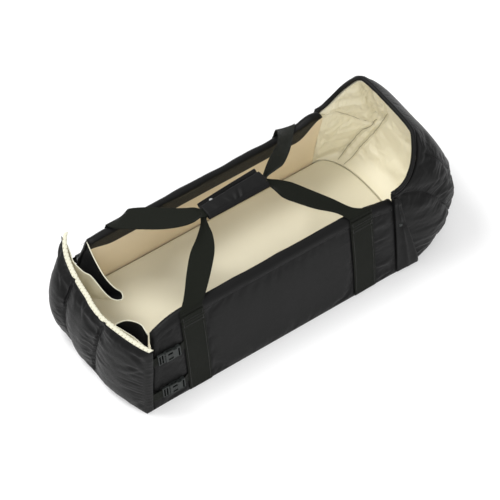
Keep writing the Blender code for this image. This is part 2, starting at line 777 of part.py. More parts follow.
def grip_wrap():
    """Padded wrap sewn to the near handle: fixed leaf and fold, and the leaf that opens."""

    def fixed(depth):
        section = wrap_section(WRAP_ROOM, depth)

        def point(u, v):
            x = GRIP_MIDDLE + GRIP_LENGTH * (u - HALF_SHARE)
            return section(v) + Vector((x, 0.0, GRIP_HEIGHT))

        return point

    slab("grip_wrap", fixed(0.0), fixed(WRAP_CLOTH), 6, 10, "outer")
    hinge = wrap_hinge()
    under = GRIP_HEIGHT + WEBBING + GAP * WRAP_GAPS + WRAP_ROOM

    def leaf(depth):
        def point(u, v):
            x = GRIP_MIDDLE + GRIP_LENGTH * (u - HALF_SHARE)
            y = between(hinge.y + GAP, WRAP_WIDTH / 2, v)
            swell = WRAP_CLOTH * HALF_SHARE * math.sin(math.pi * v) * (depth / WRAP_CLOTH)
            return Vector((x, y, under + depth + swell))

        return point

    slab("grip_wrap_leaf", leaf(0.0), leaf(WRAP_CLOTH), 6, 4, "outer")


def wrap_hinge():
    """Line where the opening leaf meets the fold of the wrap."""
    radius = (WEBBING * 2 + GAP * WRAP_FOLD_GAPS + WRAP_ROOM) / 2
    y = -(WRAP_WIDTH / 2 - WRAP_CLOTH - radius)
    level = GRIP_HEIGHT + WEBBING + GAP * WRAP_GAPS + WRAP_ROOM + WRAP_CLOTH / 2
    return Vector((GRIP_MIDDLE, y, level))


def studs():
    """Two press studs at the mouth of the wrap: posts on the fixed leaf, sockets on the other."""
    low = GRIP_HEIGHT - WEBBING - GAP * WRAP_GAPS
    high = GRIP_HEIGHT + WEBBING + GAP * WRAP_GAPS + WRAP_ROOM
    y = WRAP_WIDTH / 2 - STUD_RADIUS
    half = (high - low - GAP * WRAP_FOLD_GAPS) / 2
    for end, sign in (("foot", -1.0), ("head", 1.0)):
        x = GRIP_MIDDLE + sign * STUD_PITCH / 2
        for name, z, up in (("stud_post", low + GAP, 1.0), ("stud_socket", high - GAP, -1.0)):
            face = Vector((0.0, 0.0, up))
            press_stud(f"{name}_{end}", Vector((x, y, z)), face, STUD_RADIUS, half, "steel")


# Buckles


def buckle_frame(side, level):
    """Matrix from a buckle's own axes (length, width, thickness) to the cot, at the female mouth."""
    half = BUCKLE_WIDTH / 2
    lean = math.atan2(outside(level - half) - outside(level + half), BUCKLE_WIDTH)
    out = Vector((0.0, side * math.cos(lean), math.sin(lean)))
    along = Vector((1.0, 0.0, 0.0))
    wide = out.cross(along)
    y = outside(level) + (BUCKLE_STANDOFF + BUCKLE_THICKNESS / 2) / math.cos(lean)
    centre = Vector((-FOOT_END + BUCKLE_MOUTH, side * y, level))
    turn = Matrix((along, wide, out)).transposed().to_4x4()
    return Matrix.Translation(centre) @ turn


def block(name, low, high, kind=None, bevel=0.0):
    """Box between two corners in a buckle's own axes; a cutter if it has no finish."""
    bm = bmesh.new()
    bmesh.ops.create_cube(bm, size=1.0)
    for vert in bm.verts:
        for axis in range(3):
            vert.co[axis] = between(low[axis], high[axis], vert.co[axis] + HALF_SHARE)
    if bevel:
        bmesh.ops.bevel(
            bm, geom=bm.edges[:], offset=bevel, segments=1, affect="EDGES", profile=HALF_SHARE
        )
    mesh = bpy.data.meshes.new(name)
    bm.to_mesh(mesh)
    bm.free()
    if kind:
        return place(name, mesh, kind)
    made = bpy.data.objects.new(name, mesh)
    CUTTERS.objects.link(made)
    made.hide_render = True
    made.display_type = "WIRE"
    return made


def combine(target, tool, operation):
    """Exact Boolean of a tool object on the target."""
    step = target.modifiers.new(tool.name, "BOOLEAN")
    step.operation = operation
    step.solver = "EXACT"
    step.object = tool


def female_half(name, matrix):
    """Socket half: mouth, side windows for the arms, window over the tongue, webbing slot."""
    wide, thick = BUCKLE_WIDTH / 2, BUCKLE_THICKNESS / 2
    over = CUT_OVER
    body = block(name, (0.0, -wide, -thick), (FEMALE_LENGTH, wide, thick), "buckle", CORNER)
    hollow_wide, hollow_thick = wide - WALL, thick - WALL
    depth = TONGUE_REACH + SLIDE_CLEARANCE * 2
    mouth, window = WALL * MOUTH_WALLS, wide - WALL * WINDOW_WALLS
    tools = [
        ((-over, -hollow_wide, -hollow_thick), (depth, hollow_wide, hollow_thick)),
        ((mouth, wide - ARM_WIDTH, -hollow_thick), (depth, wide + over, hollow_thick)),
        ((mouth, -wide - over, -hollow_thick), (depth, -wide + ARM_WIDTH, hollow_thick)),
        ((mouth, ARM_WIDTH, thick - WALL - over), (depth, window, thick + over)),
        ((mouth, -window, thick - WALL - over), (depth, -ARM_WIDTH, thick + over)),
    ]
    slot_start = FEMALE_LENGTH - BAR - SLOT
    half_tab = TAB_WIDTH / 2 + SLIDE_CLEARANCE
    tools.append(((slot_start, -half_tab, -thick - over), (slot_start + SLOT, half_tab, thick + over)))
    waist = depth + WALL
    notch = (slot_start - waist, wide - half_tab)
    tools.append(((waist, half_tab, -thick - over), (waist + notch[0] - WALL, wide + over, thick + over)))
    tools.append(((waist, -wide - over, -thick - over), (waist + notch[0] - WALL, -half_tab, thick + over)))
    for index, (low, high) in enumerate(tools):
        combine(body, placed(block(f"{name}_cut_{index}", low, high), matrix), "DIFFERENCE")
    return placed(body, matrix)


def placed(item, matrix):
    """Object moved to its place by a matrix."""
    item.matrix_world = matrix
    return item


def male_half(name, matrix):
    """Plug half: ladder frame with two webbing slots, middle tongue and two hooked arms."""
    wide, thick = BUCKLE_WIDTH / 2, BUCKLE_THICKNESS / 2
    over = CUT_OVER
    start = -MALE_LENGTH
    flat = thick - WALL - SLIDE_CLEARANCE
    body = block(name, (start, -wide, -flat), (-SLIDE_CLEARANCE, wide, flat), "buckle", CORNER / 2)
    reach = TONGUE_REACH
    arm_out = wide - WALL - SLIDE_CLEARANCE
    arm = [arm_out - ARM_WIDTH * share for share in ARM_SHARES]
    hook = reach * HOOK_SHARE
    adds = [
        ((-BAR, -ARM_WIDTH / 2, -flat), (reach * TONGUE_SHARE, ARM_WIDTH / 2, flat)),
        ((-BAR, arm[1], -flat), (reach, arm[0], flat)),
        ((-BAR, -arm[0], -flat), (reach, -arm[1], flat)),
        ((hook, arm_out - ARM_WIDTH, -flat), (reach - GAP, arm_out, flat)),
        ((hook, -arm_out, -flat), (reach - GAP, -arm_out + ARM_WIDTH, flat)),
    ]
    for index, (low, high) in enumerate(adds):
        combine(body, placed(block(f"{name}_add_{index}", low, high), matrix), "UNION")
    half_tab = TAB_WIDTH / 2 + SLIDE_CLEARANCE
    for index in range(2):
        low = start + BAR * FRAME_BAR_SHARE + index * (SLOT + BAR * FRAME_BAR_SHARE)
        cutter = block(
            f"{name}_slot_{index}", (low, -half_tab, -thick - over), (low + SLOT, half_tab, thick + over)
        )
        combine(body, placed(cutter, matrix), "DIFFERENCE")
    return placed(body, matrix)


def webbing_tab(name, start, end, wide):
    """Short flat webbing between two places, its width along a given direction."""
    along = (end - start).normalized()
    normal = along.cross(wide).normalized()

    def face(depth):
        def point(u, v):
            return start.lerp(end, u) + wide * TAB_WIDTH * (v - HALF_SHARE) + normal * depth

        return point

    slab(name, face(-TAB / 2), face(TAB / 2), 3, 1, "webbing")


def buckles(label, side):
    """Both buckles of one side, each with its two webbing tabs."""
    for position, level in zip(("lower", "upper"), BUCKLE_LEVELS):
        name = f"{label}_{position}"
        matrix = buckle_frame(side, level)
        female_half(f"buckle_female_{name}", matrix)
        male_half(f"buckle_male_{name}", matrix)
        wide = (matrix.to_3x3() @ Vector((0.0, 1.0, 0.0))).normalized()
        bar = matrix @ Vector((-MALE_LENGTH - GAP, 0.0, 0.0))
        edge = flap_face(FLAP_THICKNESS, False)(*flap_share(1.0, bar.y, level))
        sewn = Vector((edge.x + TAB, bar.y, bar.z))
        webbing_tab(f"flap_tab_{name}", sewn, bar, wide)
        band_edge = -BAND_FOOT - WEBBING_WIDTH / 2 - GAP
        bar = matrix @ Vector((FEMALE_LENGTH + GAP, 0.0, 0.0))
        under = Vector((band_edge, side * (outside(level) + GAP + TAB), level))
        webbing_tab(f"band_tab_{name}", bar, under, wide)


def main():
    """Build every piece of the cot."""
    base()
    mattress()
    for label, side in SIDES.items():
        long_side(label, side)
        side_band(label, side, "foot", -BAND_FOOT)
        side_band(label, side, "head", BAND_HEAD)
        handle(label, side)
        pleat(label, side)
        pleat_snap(label, side)
        buckles(label, side)
    hood()
    foot_flap()
    gusset("near", SIDES["near"], NEAR_TIP, NEAR_SEAM)
    gusset("far", SIDES["far"], FAR_TIP, FAR_SEAM)
    grip_wrap()
    studs()


main()
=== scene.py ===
"""Soft carrycot dressed for its photograph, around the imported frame."""

import logging
import math
from collections.abc import Callable, Iterator
from dataclasses import dataclass
from enum import Enum
from itertools import product
from math import pi
from typing import Any

import bmesh
import bpy
import numpy as np
from mathutils import Matrix, Vector


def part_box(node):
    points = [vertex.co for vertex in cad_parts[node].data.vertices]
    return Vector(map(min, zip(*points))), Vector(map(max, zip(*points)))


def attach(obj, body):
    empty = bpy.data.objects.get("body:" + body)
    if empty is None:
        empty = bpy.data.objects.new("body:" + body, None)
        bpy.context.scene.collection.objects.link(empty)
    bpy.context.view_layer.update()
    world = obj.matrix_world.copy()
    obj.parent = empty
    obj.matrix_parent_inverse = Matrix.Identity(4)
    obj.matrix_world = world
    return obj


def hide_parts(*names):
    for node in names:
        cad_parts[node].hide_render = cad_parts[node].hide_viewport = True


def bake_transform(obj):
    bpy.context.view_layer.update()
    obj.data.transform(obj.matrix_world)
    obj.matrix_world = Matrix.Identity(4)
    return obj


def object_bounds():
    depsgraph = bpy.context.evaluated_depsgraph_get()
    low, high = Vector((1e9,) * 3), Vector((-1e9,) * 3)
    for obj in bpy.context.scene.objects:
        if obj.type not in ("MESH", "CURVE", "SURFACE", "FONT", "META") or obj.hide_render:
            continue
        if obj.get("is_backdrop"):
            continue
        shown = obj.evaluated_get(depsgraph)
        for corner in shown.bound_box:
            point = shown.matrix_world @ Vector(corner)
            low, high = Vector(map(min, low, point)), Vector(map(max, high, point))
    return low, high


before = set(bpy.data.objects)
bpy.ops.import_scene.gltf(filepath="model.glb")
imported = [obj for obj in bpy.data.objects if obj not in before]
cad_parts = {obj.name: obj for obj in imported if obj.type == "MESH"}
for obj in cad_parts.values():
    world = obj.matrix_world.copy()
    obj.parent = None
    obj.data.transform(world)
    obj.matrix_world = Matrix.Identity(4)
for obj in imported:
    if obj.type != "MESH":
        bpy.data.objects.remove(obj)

log = logging.getLogger("carrycot")

Array = np.ndarray
Grid = Array
Triple = tuple[float, float, float]
Piece = bpy.types.Object
Socket = bpy.types.NodeSocket
Surface = Callable[[Array, Array], Array]
Lift = Callable[[Array], Array]
MM = 0.001


class Side(Enum):
    """The two long sides of the cot."""

    NEAR = "near"
    FAR = "far"

    @property
    def sign(self) -> float:
        """Sense of the side along Y."""
        return self.pick(-1.0, 1.0)

    def pick(self, near: Any, far: Any) -> Any:
        """The value for this side, of one for each."""
        return near if self is Side.NEAR else far


class Slot(Enum):
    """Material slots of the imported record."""

    OUTER = "outer_cloth"
    WEBBING = "webbing"
    LINING = "lining_satin"
    RIBBED = "ribbed_lining"
    CREAM = "cream_cloth"


class Body(Enum):
    """Bodies that pieces ride on."""

    COT = "carrycot"
    FLAP = "foot_flap"
    NEAR_HANDLE = "near_carry_handle"
    FAR_HANDLE = "far_carry_handle"
    LEAF = "wrap_leaf"


# Numbers and curves


def between(low: float, high: float, share: float) -> float:
    """Value at a share of the way from low to high."""
    return low + (high - low) * share


def ease(share: Array) -> Array:
    """Smooth step from 0 to 1."""
    share = np.clip(share, 0.0, 1.0)
    return share * share * (3.0 - 2.0 * share)


def quadratic(values: Triple, t: Array) -> Array:
    """Quadratic Bezier with three control values."""
    w = 1.0 - t
    return w * w * values[0] + 2.0 * w * t * values[1] + t * t * values[2]


def cubic(values: tuple, t: Array) -> Array:
    """Cubic Bezier with four control values."""
    w = 1.0 - t
    return w**3 * values[0] + 3 * w * w * t * values[1] + 3 * w * t * t * values[2] + t**3 * values[3]


def points_of(x: Array, y: Array, z: Array) -> Array:
    """Points from three arrays that can be spread to one shape."""
    return np.stack(np.broadcast_arrays(x, y, z), axis=-1).astype(float)


def unit(vectors: Array) -> Array:
    """Vectors scaled to length 1."""
    return vectors / np.maximum(np.linalg.norm(vectors, axis=-1, keepdims=True), 1e-12)


def lattice(columns: int, rows: int) -> tuple[Array, Array]:
    """Shares across and up of a grid of (rows + 1) by (columns + 1) points."""
    return np.meshgrid(np.linspace(0.0, 1.0, columns + 1), np.linspace(0.0, 1.0, rows + 1))


def grid_normals(grid: Grid) -> Grid:
    """Unit normals of a grid of points."""
    return unit(np.cross(np.gradient(grid, axis=1), np.gradient(grid, axis=0)))


def smooth_run(values: Array, t: Array) -> Array:
    """Catmull-Rom values at shares t from 0 to 1 through rows of values.

    Args:
        values: Rows of values, evenly spaced.
        t: Shares at which they are read.

    Returns:
        The values at t.
    """
    values = np.asarray(values, float)
    last = len(values) - 1
    index = np.minimum((t * last).astype(int), last - 1)
    share = t * last - index
    if values.ndim > 1:
        share = share[:, None]
    before, start = values[np.maximum(index - 1, 0)], values[index]
    end, after = values[index + 1], values[np.minimum(index + 2, last)]
    slope_in, slope_out = (end - before) / 2, (after - start) / 2
    gain = end - start
    return (
        start
        + slope_in * share
        + (3 * gain - 2 * slope_in - slope_out) * share**2
        + (slope_in + slope_out - 2 * gain) * share**3
    )


def profile(at: Array, table: tuple, soft: float = 0.012) -> Array:
    """Values of a table of (place, value) pairs, its corners rounded over a length."""
    places, values = zip(*table)
    return sum(np.interp(at + soft * step, places, values) for step in (-1.0, -0.5, 0.0, 0.5, 1.0)) / 5


def bell(offset: Array, width: float) -> Array:
    """Bell curve: 1 at no offset, near 0 beyond twice the width."""
    return np.exp(-((offset / width) ** 2))


def border_fade(u: Array, v: Array, ends: float, top: float, foot: float = 0.0) -> Array:
    """Mask over a grid that falls to 0 at its borders, faster for a larger rate.

    Args:
        u: Shares across the grid.
        v: Shares up the grid.
        ends: Rate at its two ends.
        top: Rate at its top.
        foot: Rate at its foot, or 0 for no fall there.

    Returns:
        The mask, 1 inside.
    """
    mask = np.minimum(ease(u * ends), ease((1 - u) * ends)) * ease((1 - v) * top)
    return mask * ease(v * foot) if foot else mask


def lattice_noise(points: Array, scale: float, seed: int) -> Array:
    """Smooth noise from -1 to 1 at points in space.

    Args:
        points: Places, one row each.
        scale: Size of a wave, in metres.
        seed: Choice of pattern.

    Returns:
        The noise at each point.
    """
    spot = np.asarray(points, float) / scale
    cell = np.floor(spot).astype(np.int64)
    part = spot - cell
    part = part * part * (3.0 - 2.0 * part)
    total = np.zeros(spot.shape[:-1])
    for corner in product((0, 1), repeat=3):
        x, y, z = np.moveaxis(cell + np.array(corner), -1, 0)
        mixed = (x * 374761393 + y * 668265263 + z * 1274126177 + seed * 974711) & 0x7FFFFFFF
        mixed = ((mixed ^ (mixed >> 13)) * 1103515245) & 0x7FFFFFFF
        value = ((mixed ^ (mixed >> 16)) & 0xFFFF) / 32767.5 - 1.0
        along_x, along_y, along_z = np.moveaxis(np.where(corner, part, 1 - part), -1, 0)
        total += value * (along_x * along_y * along_z)
    return total


@dataclass(frozen=True)
class Wave:
    """Soft unevenness of cloth."""

    height: float
    size: float
    seed: int
    stretch: Triple = (1.0, 1.0, 1.0)  # factor on each axis; a small one draws the waves out along it

    def at(self, points: Array) -> Array:
        """Height at points in space."""
        return self.height * lattice_noise(points * np.array(self.stretch), self.size, self.seed)


@dataclass(frozen=True)
class Seam:
    """Line of stitching on a surface, with what it does to the cloth beside it."""

    line: Array
    depth: float = 1.5 * MM
    width: float = 4 * MM
    pucker: float = 0.5 * MM  # height of the small folds that start at it
    reach: float = 18 * MM  # how far those folds run
    pitch: float = 9 * MM  # distance from one fold to the next
    seed: int = 1

    def near(self, points: Array) -> tuple[Array, Array]:
        """Distance of each point from the seam, and the length along the seam beside it.

        Args:
            points: Places, one row each.

        Returns:
            The distances and the lengths.
        """
        best = np.full(len(points), 1e9)
        along = np.zeros(len(points))
        run = 0.0
        for start, end in zip(self.line[:-1], self.line[1:]):
            edge = end - start
            size = float(np.linalg.norm(edge))
            if size < 1e-9:
                continue
            share = np.clip(((points - start) @ edge) / size**2, 0.0, 1.0)
            away = np.linalg.norm(points - start - share[:, None] * edge, axis=1)
            closer = away < best
            best = np.where(closer, away, best)
            along = np.where(closer, run + share * size, along)
            run += size
        return best, along

    def lift(self, points: Array) -> Array:
        """How far each point moves along its normal because of the seam.

        Args:
            points: Places, one row each.

        Returns:
            Height of each.
        """
        away, along = self.near(points)
        beside = bell(away, self.width)
        spots = points_of(along, away * 0.25, 0.0)
        folds = lattice_noise(spots, self.pitch, self.seed) + 0.5 * lattice_noise(spots, self.pitch / 2, self.seed + 7)
        return -self.depth * beside + self.pucker * folds * np.exp(-away / self.reach) * (1.0 - beside)


def sewing_lift(
    spots: Array, seams: list[Seam], swell: float, width: float, level: float, edges: tuple[Seam, ...] = ()
) -> Array:
    """What sewing does to a filled skin: furrows at its seams and a swell between them.

    Args:
        spots: Points of the skin.
        seams: Lines that are sewn down.
        swell: Height of the swell.
        width: Distance from a seam over which the swell rises.
        level: Share of the swell that lies below the skin.
        edges: Lines that only pucker the cloth beside them.

    Returns:
        Height of each point along its normal.
    """
    risen = np.min([1.0 - bell(seam.near(spots)[0], width) for seam in seams], axis=0)
    return sum(seam.lift(spots) for seam in (*seams, *edges)) + swell * (risen - level)


# Meshes


def paths_lengths(grid: Grid) -> tuple[Grid, Grid]:
    """Arc lengths across and up a grid, for its UV map.

    Args:
        grid: Grid of points.

    Returns:
        The lengths across, from the middle column, and those up.
    """
    across = np.zeros(grid.shape[:2])
    across[:, 1:] = np.cumsum(np.linalg.norm(np.diff(grid, axis=1), axis=2), axis=1)
    across -= across[:, grid.shape[1] // 2][:, None]
    up = np.zeros(grid.shape[:2])
    up[1:] = np.cumsum(np.linalg.norm(np.diff(grid, axis=0), axis=2), axis=0)
    return across, up


def border_of(rows: int, columns: int) -> Array:
    """Indices of a grid's border points in order round it."""
    index = np.arange(rows * columns).reshape(rows, columns)
    return np.concatenate([index[0, :-1], index[:-1, -1], index[-1, :0:-1], index[:0:-1, 0]])


def quads_of(rows: int, columns: int) -> Array:
    """Faces of a grid of points, four indices each."""
    index = np.arange(rows * columns).reshape(rows, columns)
    return np.stack([index[:-1, :-1], index[:-1, 1:], index[1:, 1:], index[1:, :-1]], axis=-1).reshape(-1, 4)


def placed(name: str, data: bpy.types.ID) -> Piece:
    """New object in the scene that holds a mesh, curve, camera or lamp.

    Args:
        name: Name of the object.
        data: What it holds.

    Returns:
        The object.
    """
    made = bpy.data.objects.new(name, data)
    bpy.context.scene.collection.objects.link(made)
    return made


def make_mesh(name: str, points: Array, faces: list, uvs: Array) -> Piece:
    """Object from points and faces, with a UV for each point, faces turned outwards.

    Args:
        name: Name of the object.
        points: Its points, one row each.
        faces: Indices of each face.
        uvs: UV of each point.

    Returns:
        The object.
    """
    mesh = bpy.data.meshes.new(name)
    mesh.from_pydata([tuple(p) for p in points], [], faces)
    mesh.update()
    layer = mesh.uv_layers.new(name="weave")
    corners = np.zeros(len(mesh.loops), int)
    mesh.loops.foreach_get("vertex_index", corners)
    layer.data.foreach_set("uv", uvs[corners].astype(np.float32).ravel())
    bm = bmesh.new()
    bm.from_mesh(mesh)
    bmesh.ops.recalc_face_normals(bm, faces=bm.faces[:])
    if bm.calc_volume(signed=True) < 0.0:
        bmesh.ops.reverse_faces(bm, faces=bm.faces[:])
    bm.to_mesh(mesh)
    bm.free()
    mesh.shade_smooth()
    return placed(name, mesh)


def pad(name: str, front: Grid, back: Grid, rings: int = 3, bulge: float = 1.0) -> Piece:
    """Closed padded solid between two grids, with its border rounded.

    Args:
        name: Name of the piece.
        front: Grid of points of its outer skin.
        back: Grid of points of its other skin, of the same shape.
        rings: Rows of points round the border.
        bulge: How round the border is, 1 for a half circle.

    Returns:
        The piece's object.
    """
    rows, columns = front.shape[:2]
    total = rows * columns
    edge = border_of(rows, columns)
    middle = (front + back) / 2
    flat_middle, flat_front, flat_back = (g.reshape(-1, 3) for g in (middle, front, back))
    away = np.zeros((rows, columns, 3))
    away[0] += unit(middle[0] - middle[1])
    away[-1] += unit(middle[-1] - middle[-2])
    away[:, 0] += unit(middle[:, 0] - middle[:, 1])
    away[:, -1] += unit(middle[:, -1] - middle[:, -2])
    out = unit(away.reshape(-1, 3)[edge])
    half = (flat_front[edge] - flat_back[edge]) / 2
    size = np.linalg.norm(half, axis=1, keepdims=True)
    across, up = paths_lengths(front)
    uv = np.stack([across, up], axis=-1).reshape(-1, 2)
    points, uvs = [flat_front, flat_back], [uv, uv]
    for ring in range(1, rings + 1):
        turn = pi * ring / (rings + 1)
        points.append(flat_middle[edge] + half * math.cos(turn) + out * size * bulge * math.sin(turn))
        uvs.append(uv[edge] + size * turn * np.array([[0.7, 0.7]]))
    quads = quads_of(rows, columns)
    faces = quads.tolist() + (quads[:, ::-1] + total).tolist()
    loops = [edge] + [2 * total + len(edge) * ring + np.arange(len(edge)) for ring in range(rings)] + [edge + total]
    for one, two in zip(loops[:-1], loops[1:]):
        faces += np.stack([one, two, np.roll(two, -1), np.roll(one, -1)], axis=-1).tolist()
    return make_mesh(name, np.concatenate(points), faces, np.concatenate(uvs))


def tube(name: str, path: Array, radius: float | Array, sides: int = 12) -> Piece:
    """Closed round tube along a path, ended in small domes.

    Args:
        name: Name of the piece.
        path: Points of its middle line.
        radius: One radius, or one for each point.
        sides: Points round it.

    Returns:
        The piece's object.
    """
    radius = np.broadcast_to(radius, len(path))
    ahead = unit(np.gradient(path, axis=0))
    wide = unit(np.cross(ahead, (0.0, 0.0, 1.0)) + 1e-9)
    tall = unit(np.cross(wide, ahead))
    rings = list(zip(path, radius, wide, tall))
    for share in (0.8, 0.35):
        step = ahead * (radius * math.sqrt(1 - share * share) * 0.6)[:, None]
        rings.insert(0, (path[0] - step[0], radius[0] * share, wide[0], tall[0]))
        rings.append((path[-1] + step[-1], radius[-1] * share, wide[-1], tall[-1]))
    turns = np.linspace(0.0, 2 * pi, sides, endpoint=False)
    points, uvs, run, before = [], [], 0.0, rings[0][0]
    for centre, size, across, above in rings:
        run += float(np.linalg.norm(centre - before))
        before = centre
        points.append(centre + size * (np.cos(turns)[:, None] * across + np.sin(turns)[:, None] * above))
        uvs.append(np.stack([np.full(sides, run), size * turns], axis=-1))
    index = np.arange(len(rings) * sides).reshape(-1, sides)
    after = np.roll(index, -1, axis=1)
    faces = np.stack([index[:-1], after[:-1], after[1:], index[1:]], axis=-1).reshape(-1, 4).tolist()
    faces += [index[0, ::-1].tolist(), index[-1].tolist()]
    return make_mesh(name, np.concatenate(points), faces, np.concatenate(uvs))


def point_rows(made: Piece, kind: str = "co") -> Array:
    """Places ("co") or normals ("normal") of an object's points.

    Args:
        made: The object.
        kind: Which of the two.

    Returns:
        One row for each point.
    """
    out = np.zeros(len(made.data.vertices) * 3)
    made.data.vertices.foreach_get(kind, out)
    return out.reshape(-1, 3)


def move_points(made: Piece, places: Array) -> None:
    """Set the places of an object's points."""
    made.data.vertices.foreach_set("co", places.ravel())
    made.data.update()


def keep_between(made: Piece, axis: int, low: float = -math.inf, high: float = math.inf) -> None:
    """Hold an object's points between two values along an axis.

    Args:
        made: The object.
        axis: 0, 1 or 2 for X, Y or Z.
        low: Lowest value.
        high: Highest value.
    """
    places = point_rows(made)
    places[:, axis] = np.clip(places[:, axis], low, high)
    move_points(made, places)


def ruffle(made: Piece, lift: Lift, share: float = 1.0) -> None:
    """Move an object's points along their normals, by a share of what a function of their places says."""
    places = point_rows(made)
    move_points(made, places + point_rows(made, "normal") * (share * lift(places))[:, None])


def rise(grid: Grid, lift: Lift, fade: Array, sense: float = 1.0) -> Grid:
    """Steps of a grid's points along their normals.

    Args:
        grid: Grid of points.
        lift: Height at each of a row of points.
        fade: Share of its height that each point takes.
        sense: 1 or -1, for which of its two normals points outwards.

    Returns:
        The step of each point.
    """
    heights = lift(grid.reshape(-1, 3)).reshape(grid.shape[:2])
    return grid_normals(grid) * sense * (heights * fade)[..., None]


@dataclass(frozen=True)
class Filling:
    """How a padded piece is filled, for its cloth simulation."""

    pressure: float = 2.0  # push of the filling on the cloth
    growth: float = 0.02  # share by which the cloth is larger than its seams
    cap: float = 4 * MM  # furthest that a point may move
    frames: int = 16
    bending: float = 0.2  # stiffness of the cloth against folds

    def settle(self, name: str, front: Grid, seams: list[Seam], step: int = 2) -> Grid:
        """Let the cloth of a padded piece settle between its seams.

        Args:
            name: Name of the piece.
            front: Fine grid of its outer skin, whose border is sewn down.
            seams: Lines that are sewn down across it.
            step: Points of the fine grid to one of the simulated grid.

        Returns:
            The fine grid after the cloth has settled.
        """
        coarse = front[::step, ::step]
        rows, columns = coarse.shape[:2]
        start = coarse.reshape(-1, 3)
        mesh = bpy.data.meshes.new("settling")
        mesh.from_pydata(start.tolist(), [], quads_of(rows, columns).tolist())
        made = placed("settling", mesh)
        self.sew_down(made, coarse, seams)
        modifier = made.modifiers.new("settle", "CLOTH")
        for key, value in CLOTH.items():
            setattr(modifier.settings, key, value)
        modifier.settings.bending_stiffness = self.bending
        modifier.settings.shrink_min = -self.growth
        modifier.settings.uniform_pressure_force = self.pressure
        modifier.settings.effector_weights.gravity = 0.0
        modifier.collision_settings.use_collision = False
        modifier.point_cache.frame_start = 1
        modifier.point_cache.frame_end = self.frames
        for number in range(1, self.frames + 1):
            bpy.context.scene.frame_set(number)
        shown = made.evaluated_get(bpy.context.evaluated_depsgraph_get())
        shift = np.nan_to_num(point_rows(shown) - start)
        bpy.data.objects.remove(made)
        bpy.data.meshes.remove(mesh)
        bpy.context.scene.frame_set(1)
        size = np.linalg.norm(shift, axis=1, keepdims=True)
        shift *= self.cap * np.tanh(size / self.cap) / np.maximum(size, 1e-9)
        log.info("%s settled, most %.1f mm", name, float(size.max()) / MM)
        return front + finer(shift.reshape(rows, columns, 3), step)

    def sew_down(self, made: Piece, grid: Grid, seams: list[Seam]) -> None:
        """Hold a simulated grid at its border and along its seams, in its group of points.

        Args:
            made: The grid's object.
            grid: Its points.
            seams: Lines that are sewn down.
        """
        held = sewn_down(grid.reshape(-1, 3), seams).reshape(grid.shape[:2])
        held[0] = held[-1] = held[:, 0] = held[:, -1] = 1.0
        held = np.round(held.ravel(), 1)
        group = made.vertex_groups.new(name=CLOTH["vertex_group_mass"])
        for level in np.unique(held[held > 0.0]):
            group.add(np.flatnonzero(held == level).tolist(), float(level), "REPLACE")


CLOTH = {
    "quality": 5,
    "mass": 0.15,
    "tension_stiffness": 15.0,
    "compression_stiffness": 15.0,
    "shear_stiffness": 5.0,
    "vertex_group_mass": "sewn",
    "use_pressure": True,
}


def finer(coarse: Grid, step: int) -> Grid:
    """Grid with more points between those of a coarse one, smoothed.

    Args:
        coarse: Grid of points or steps.
        step: Points of the fine grid to one of the coarse grid.

    Returns:
        The fine grid.
    """
    for axis in (0, 1):
        count = coarse.shape[axis]
        at = np.linspace(0.0, count - 1.0, (count - 1) * step + 1)
        low = np.minimum(at.astype(int), count - 2)
        share = (at - low).reshape([-1 if a == axis else 1 for a in range(3)])
        coarse = np.take(coarse, low, axis) * (1 - share) + np.take(coarse, low + 1, axis) * share
    inner = coarse[1:-1, 1:-1]
    around = coarse[:-2, 1:-1] + coarse[2:, 1:-1] + coarse[1:-1, :-2] + coarse[1:-1, 2:]
    coarse[1:-1, 1:-1] = (inner * 2 + around) / 6
    return coarse


def sampled(grid: Grid, across: Array, up: Array) -> Array:
    """Points of a grid at shares across and up it.

    Args:
        grid: Grid of points.
        across: Shares across it.
        up: Shares up it.

    Returns:
        One point for each pair of shares.
    """
    rows, columns = grid.shape[0] - 1, grid.shape[1] - 1
    x, y = np.clip(across, 0.0, 1.0) * columns, np.clip(up, 0.0, 1.0) * rows
    left, low = np.minimum(x.astype(int), columns - 1), np.minimum(y.astype(int), rows - 1)
    x, y = (x - left)[:, None], (y - low)[:, None]
    bottom = grid[low, left] * (1 - x) + grid[low, left + 1] * x
    above = grid[low + 1, left] * (1 - x) + grid[low + 1, left + 1] * x
    return bottom * (1 - y) + above * y


def sewn_down(points: Array, seams: list[Seam], reach: float = 3 * MM) -> Array:
    """How firmly points are held by seams: 1 on a seam, less beside it.

    Args:
        points: Places, one row each.
        seams: The seams.
        reach: Distance at which a point is half held.

    Returns:
        One number for each point.
    """
    held = np.zeros(len(points))
    for seam in seams:
        away, _ = seam.near(points)
        held = np.maximum(held, np.clip(1.5 - away / reach, 0.0, 1.0))
    return held


# Shader maths


class Term:
    """Number on a socket, with arithmetic that adds Math nodes."""

    def __init__(self, graph: "Graph", socket: Socket) -> None:
        """Hold a socket of a graph."""
        self.graph = graph
        self.socket = socket

    def __add__(self, other: "Term | float") -> "Term":
        """Sum."""
        return self.graph.math("ADD", self, other)

    __radd__ = __add__

    def __sub__(self, other: "Term | float") -> "Term":
        """Difference."""
        return self.graph.math("SUBTRACT", self, other)

    def __rsub__(self, other: "Term | float") -> "Term":
        """Difference from a number."""
        return self.graph.math("SUBTRACT", other, self)

    def __mul__(self, other: "Term | float") -> "Term":
        """Product."""
        return self.graph.math("MULTIPLY", self, other)

    __rmul__ = __mul__


